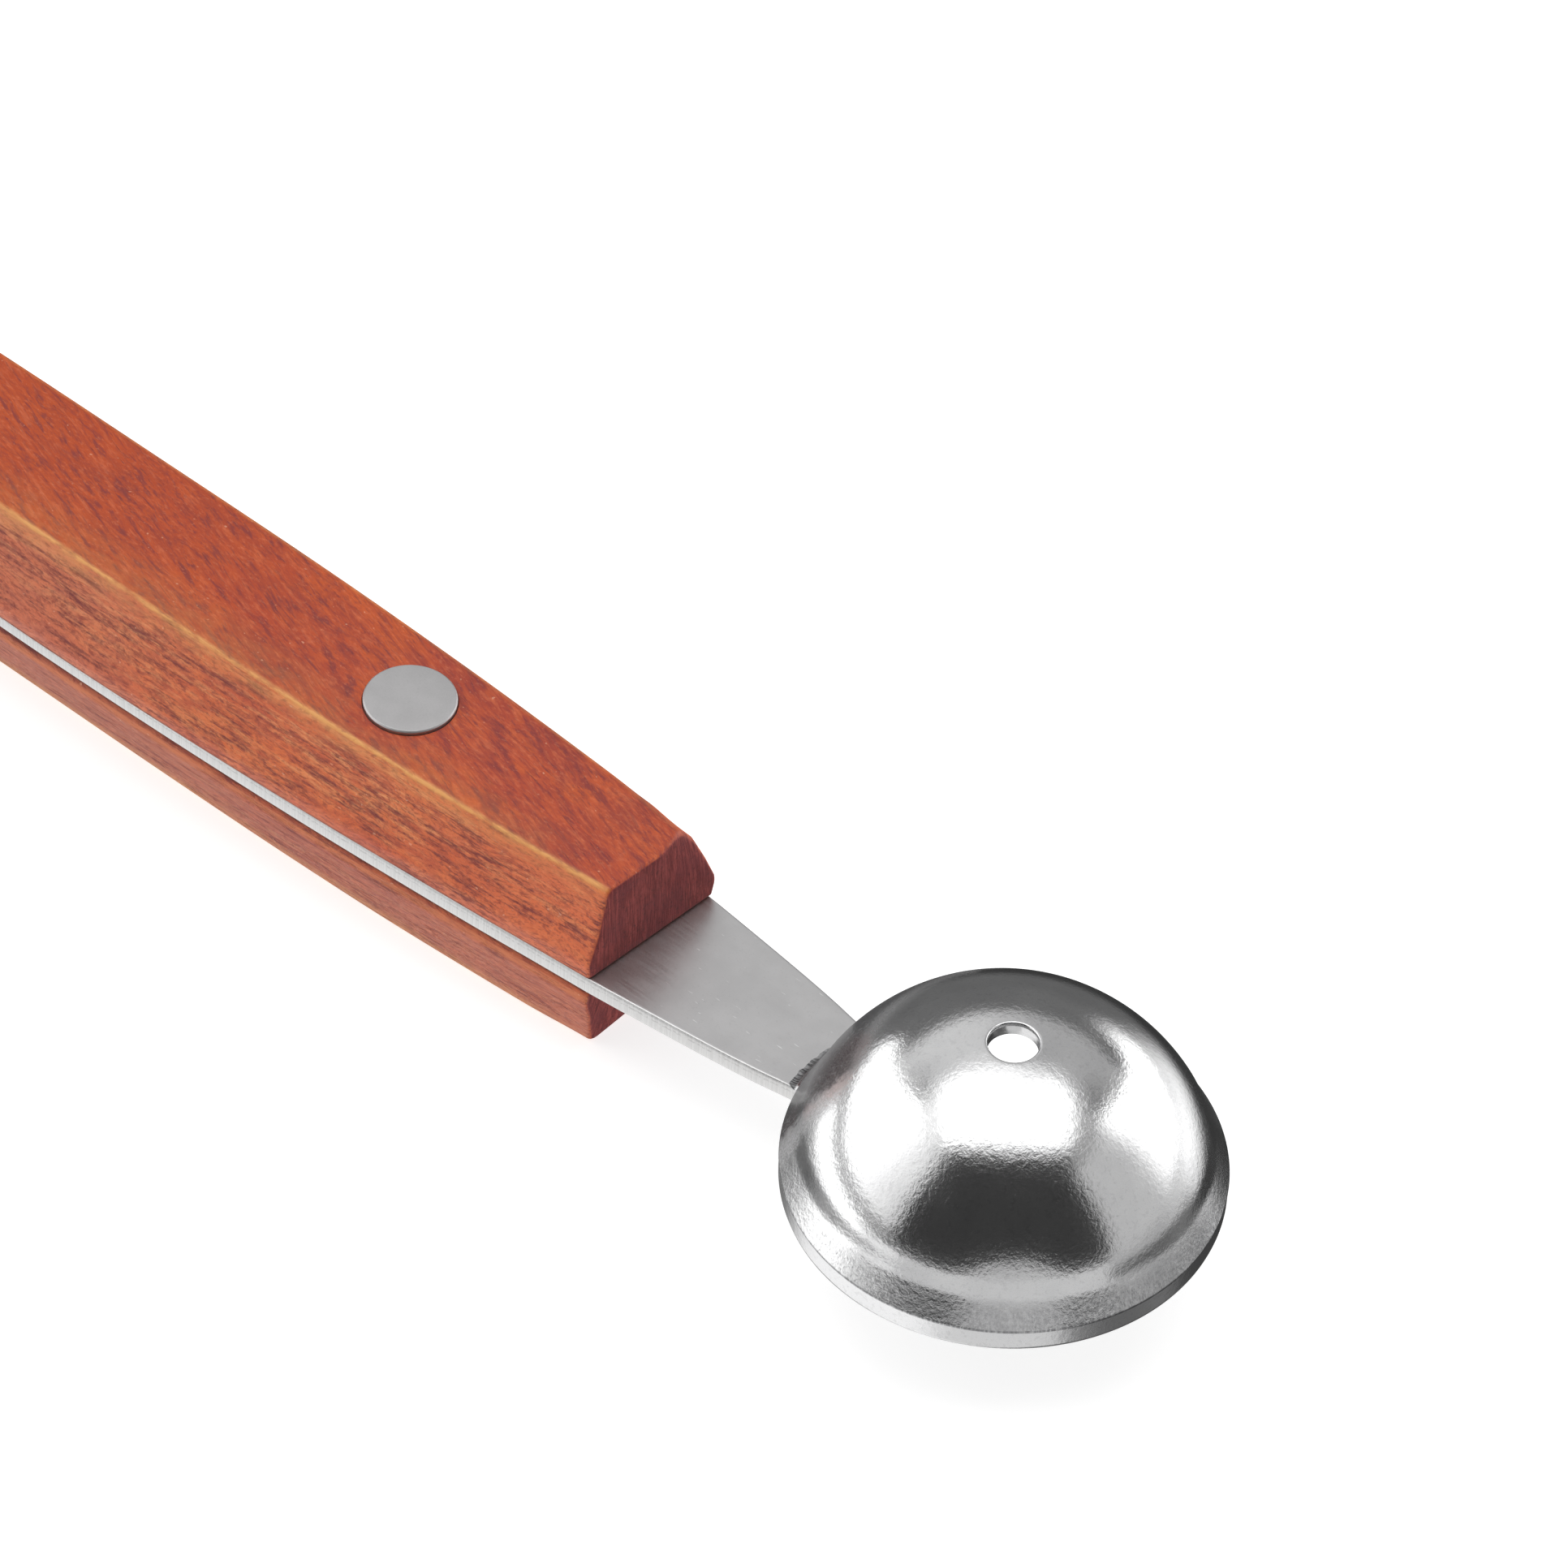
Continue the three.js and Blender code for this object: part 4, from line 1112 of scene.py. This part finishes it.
me = bpy.data.meshes.new("floor")
S = 1.6
me.from_pydata([(-S, -S, -0.00002), (S, -S, -0.00002), (S, S, -0.00002), (-S, S, -0.00002)], [], [(0, 1, 2, 3)])
floor = bpy.data.objects.new("floor", me)
scene.collection.objects.link(floor)
fm, F = material("floor_pale")
fp = F.principled(Base_Color=(0.48, 0.48, 0.48, 1.0), Roughness=0.7)
fp.inputs["Emission Color"].default_value = (1.0, 1.0, 1.0, 1.0)
fp.inputs["Emission Strength"].default_value = 0.76
me.materials.append(fm)
floor.visible_glossy = False  # polished steel shows the studio below the horizon instead

AZ, EL, ROLL = 0.6830, 0.8043, 0.0522
FOCAL, TX, TY, DIST = 12000.0, 42.2614, -6.7044, 642.6592

world = bpy.data.worlds.new("studio")
scene.world = world
world.use_nodes = True
wt = world.node_tree
wt.nodes.clear()


class Val:
    """A number in the world's node tree that takes ordinary arithmetic."""

    def __init__(self, socket):
        self.s = socket

    @staticmethod
    def op(kind, a, b=None):
        m = wt.nodes.new("ShaderNodeMath")
        m.operation = kind
        for k, v in enumerate((a, b)):
            if isinstance(v, Val):
                wt.links.new(v.s, m.inputs[k])
            elif v is not None:
                m.inputs[k].default_value = v
        return Val(m.outputs[0])

    def __add__(self, o):
        return Val.op("ADD", self, o)

    def __sub__(self, o):
        return Val.op("SUBTRACT", self, o)

    def __mul__(self, o):
        return Val.op("MULTIPLY", self, o)

    __radd__ = __add__
    __rmul__ = __mul__

    def __rsub__(self, o):
        return Val.op("SUBTRACT", o, self)


def step(v, a, b, lo=0.0, hi=1.0):
    m = wt.nodes.new("ShaderNodeMapRange")
    m.interpolation_type = "SMOOTHSTEP"
    if isinstance(v, Val):
        wt.links.new(v.s, m.inputs["Value"])
    m.inputs["From Min"].default_value, m.inputs["From Max"].default_value = a, b
    m.inputs["To Min"].default_value, m.inputs["To Max"].default_value = lo, hi
    return Val(m.outputs["Result"])


def patch(az, el, a0, a1, e0, e1, sa, se):
    return step(az, a0 - sa, a0 + sa) * step(az, a1 + sa, a1 - sa) * step(el, e0 - se, e0 + se) * step(el, e1 + se, e1 - se)


out = wt.nodes.new("ShaderNodeOutputWorld")
bg = wt.nodes.new("ShaderNodeBackground")
tcw = wt.nodes.new("ShaderNodeTexCoord")
sep = wt.nodes.new("ShaderNodeSeparateXYZ")
wt.links.new(tcw.outputs["Generated"], sep.inputs[0])
dx, dy, dz = (Val(o) for o in sep.outputs)
ca, sa = math.cos(AZ), math.sin(AZ)
front = dx * sa - dy * ca
side = dx * ca + dy * sa
az = Val.op("ARCTAN2", side, front) * (180 / math.pi)
el = Val.op("ARCSINE", dz) * (180 / math.pi)
ab = Val.op("ABSOLUTE", az)
lefty = step(side, 0.25, -0.25)

# overhead bank
edge = step(ab, 20, 70, 69, 58)
over = step(el - edge, -5, 6) * (1 - step(ab, 115, 160) * (1 - step(el, 50, 86)))
light = 0.055 + 2.2 * over
# left bank, curved along its top
left = step(az, -58, -54, 1, 0) * step(az, -147, -141) * step(step(az, -100, -146, 50, 18) - el, -2, 3) * step(el, 3, 7)
light = light + 2.0 * left * step(az, -60, -95, 0.52, 1.0)
# right bank, dim at the front and bright at the back
right = step(az, 53, 58) * step(az, 160, 140) * step(step(az, 95, 150, 48, 14) - el, -2, 3) * step(el, -3, 1)
light = light + right * (0.66 + 1.7 * step(az, 86, 112))
# wall behind, lit on its upper part
wall_hi = step(ab, 100, 140) * step(el, 22, 27) * (1 - left) * (1 - right)
light = light + wall_hi * step(el, 84, 60) * (0.50 + 0.32 * lefty)
light = light + 0.14 * (step(ab, 142, 150) * step(el, 24, 20))
# spill between the side banks and the overhead bank
spill = step(ab, 54, 66) * step(ab, 140, 110) * step(el, 46, 54) * step(el, 66, 58)
light = light + spill * (0.45 + 0.60 * lefty)
# glow low at the front
off = Val.op("ABSOLUTE", az - 6.0)
light = light + 0.66 * (step(step(off, 34, 4, 0, 12) - el, -2, 2) * step(off, 40, 30) * step(el, -4, 0))
# below the horizon: the sweep of the table
below = step(el, 2, -2)
ground = 0.66 * step(ab, 150, 125) + 0.17
ground = ground * (1 - 0.72 * (step(az, 50, 58) * step(az, 150, 130) * step(el, -10, -16)))
ground = ground * (1 - 0.35 * (step(az, 50, 56) * step(az, 100, 80) * step(el, 0, -4)))
ground = ground * (1 - 0.50 * (step(az, -20, -50) * step(az, -150, -110) * step(el, -14, -18) * step(el, -30, -24)))
ground = ground * (1 - 0.75 * (step(az, 96, 116) * step(el, -17, -26)))
ground = ground * (1 - 0.75 * (step(az, -96, -116) * step(el, -17, -26) * step(el, -42, -35)))
ground = ground + 0.42 * patch(az, el, -125, -34, -80, -38, 10, 4)
ground = ground * (1 - 0.72 * (step(az, 32, 42) * step(az, 60, 50) * step(el, -26, -34)))
ground = ground + 1.3 * patch(az, el, -125, -72, -13, -1, 4, 2)
ground = ground + 0.45 * patch(az, el, -72, -50, -13, -3, 4, 2)
ground = ground + 0.9 * patch(az, el, 108, 150, -20, -3, 8, 4)
light = light * (1 - below) + ground * below
lp = wt.nodes.new("ShaderNodeLightPath")
plain_back = Val(lp.outputs["Is Camera Ray"])
shown_light = light * (1 - plain_back) + 1.05 * plain_back
wt.links.new(shown_light.s, bg.inputs["Strength"])
bg.inputs["Color"].default_value = (1, 1, 1, 1)
wt.links.new(bg.outputs[0], out.inputs["Surface"])
world.cycles.sampling_method = "MANUAL"
world.cycles.sample_map_resolution = 1024

# camera, at the photograph's angle
back = Vector((math.sin(AZ) * math.cos(EL), -math.cos(AZ) * math.cos(EL), math.sin(EL)))
right0 = Vector((math.cos(AZ), math.sin(AZ), 0.0))
up0 = back.cross(right0)
rx = right0 * math.cos(ROLL) + up0 * math.sin(ROLL)
ux = up0 * math.cos(ROLL) - right0 * math.sin(ROLL)
cam_data = bpy.data.cameras.new("camera")
cam_data.sensor_width = 36.0
cam_data.lens = FOCAL / 1932.0 * 36.0
cam_data.clip_start, cam_data.clip_end = 0.01, 20.0
cam = bpy.data.objects.new("camera", cam_data)
scene.collection.objects.link(cam)
loc = (rx * TX + ux * TY + back * DIST) * MM
cam.matrix_world = Matrix.Translation(loc) @ Matrix((
    (rx.x, ux.x, back.x, 0), (rx.y, ux.y, back.y, 0), (rx.z, ux.z, back.z, 0), (0, 0, 0, 1)))
scene.camera = cam

scene.view_settings.view_transform = "Standard"
scene.view_settings.look = "None"
scene.view_settings.exposure = 0.0
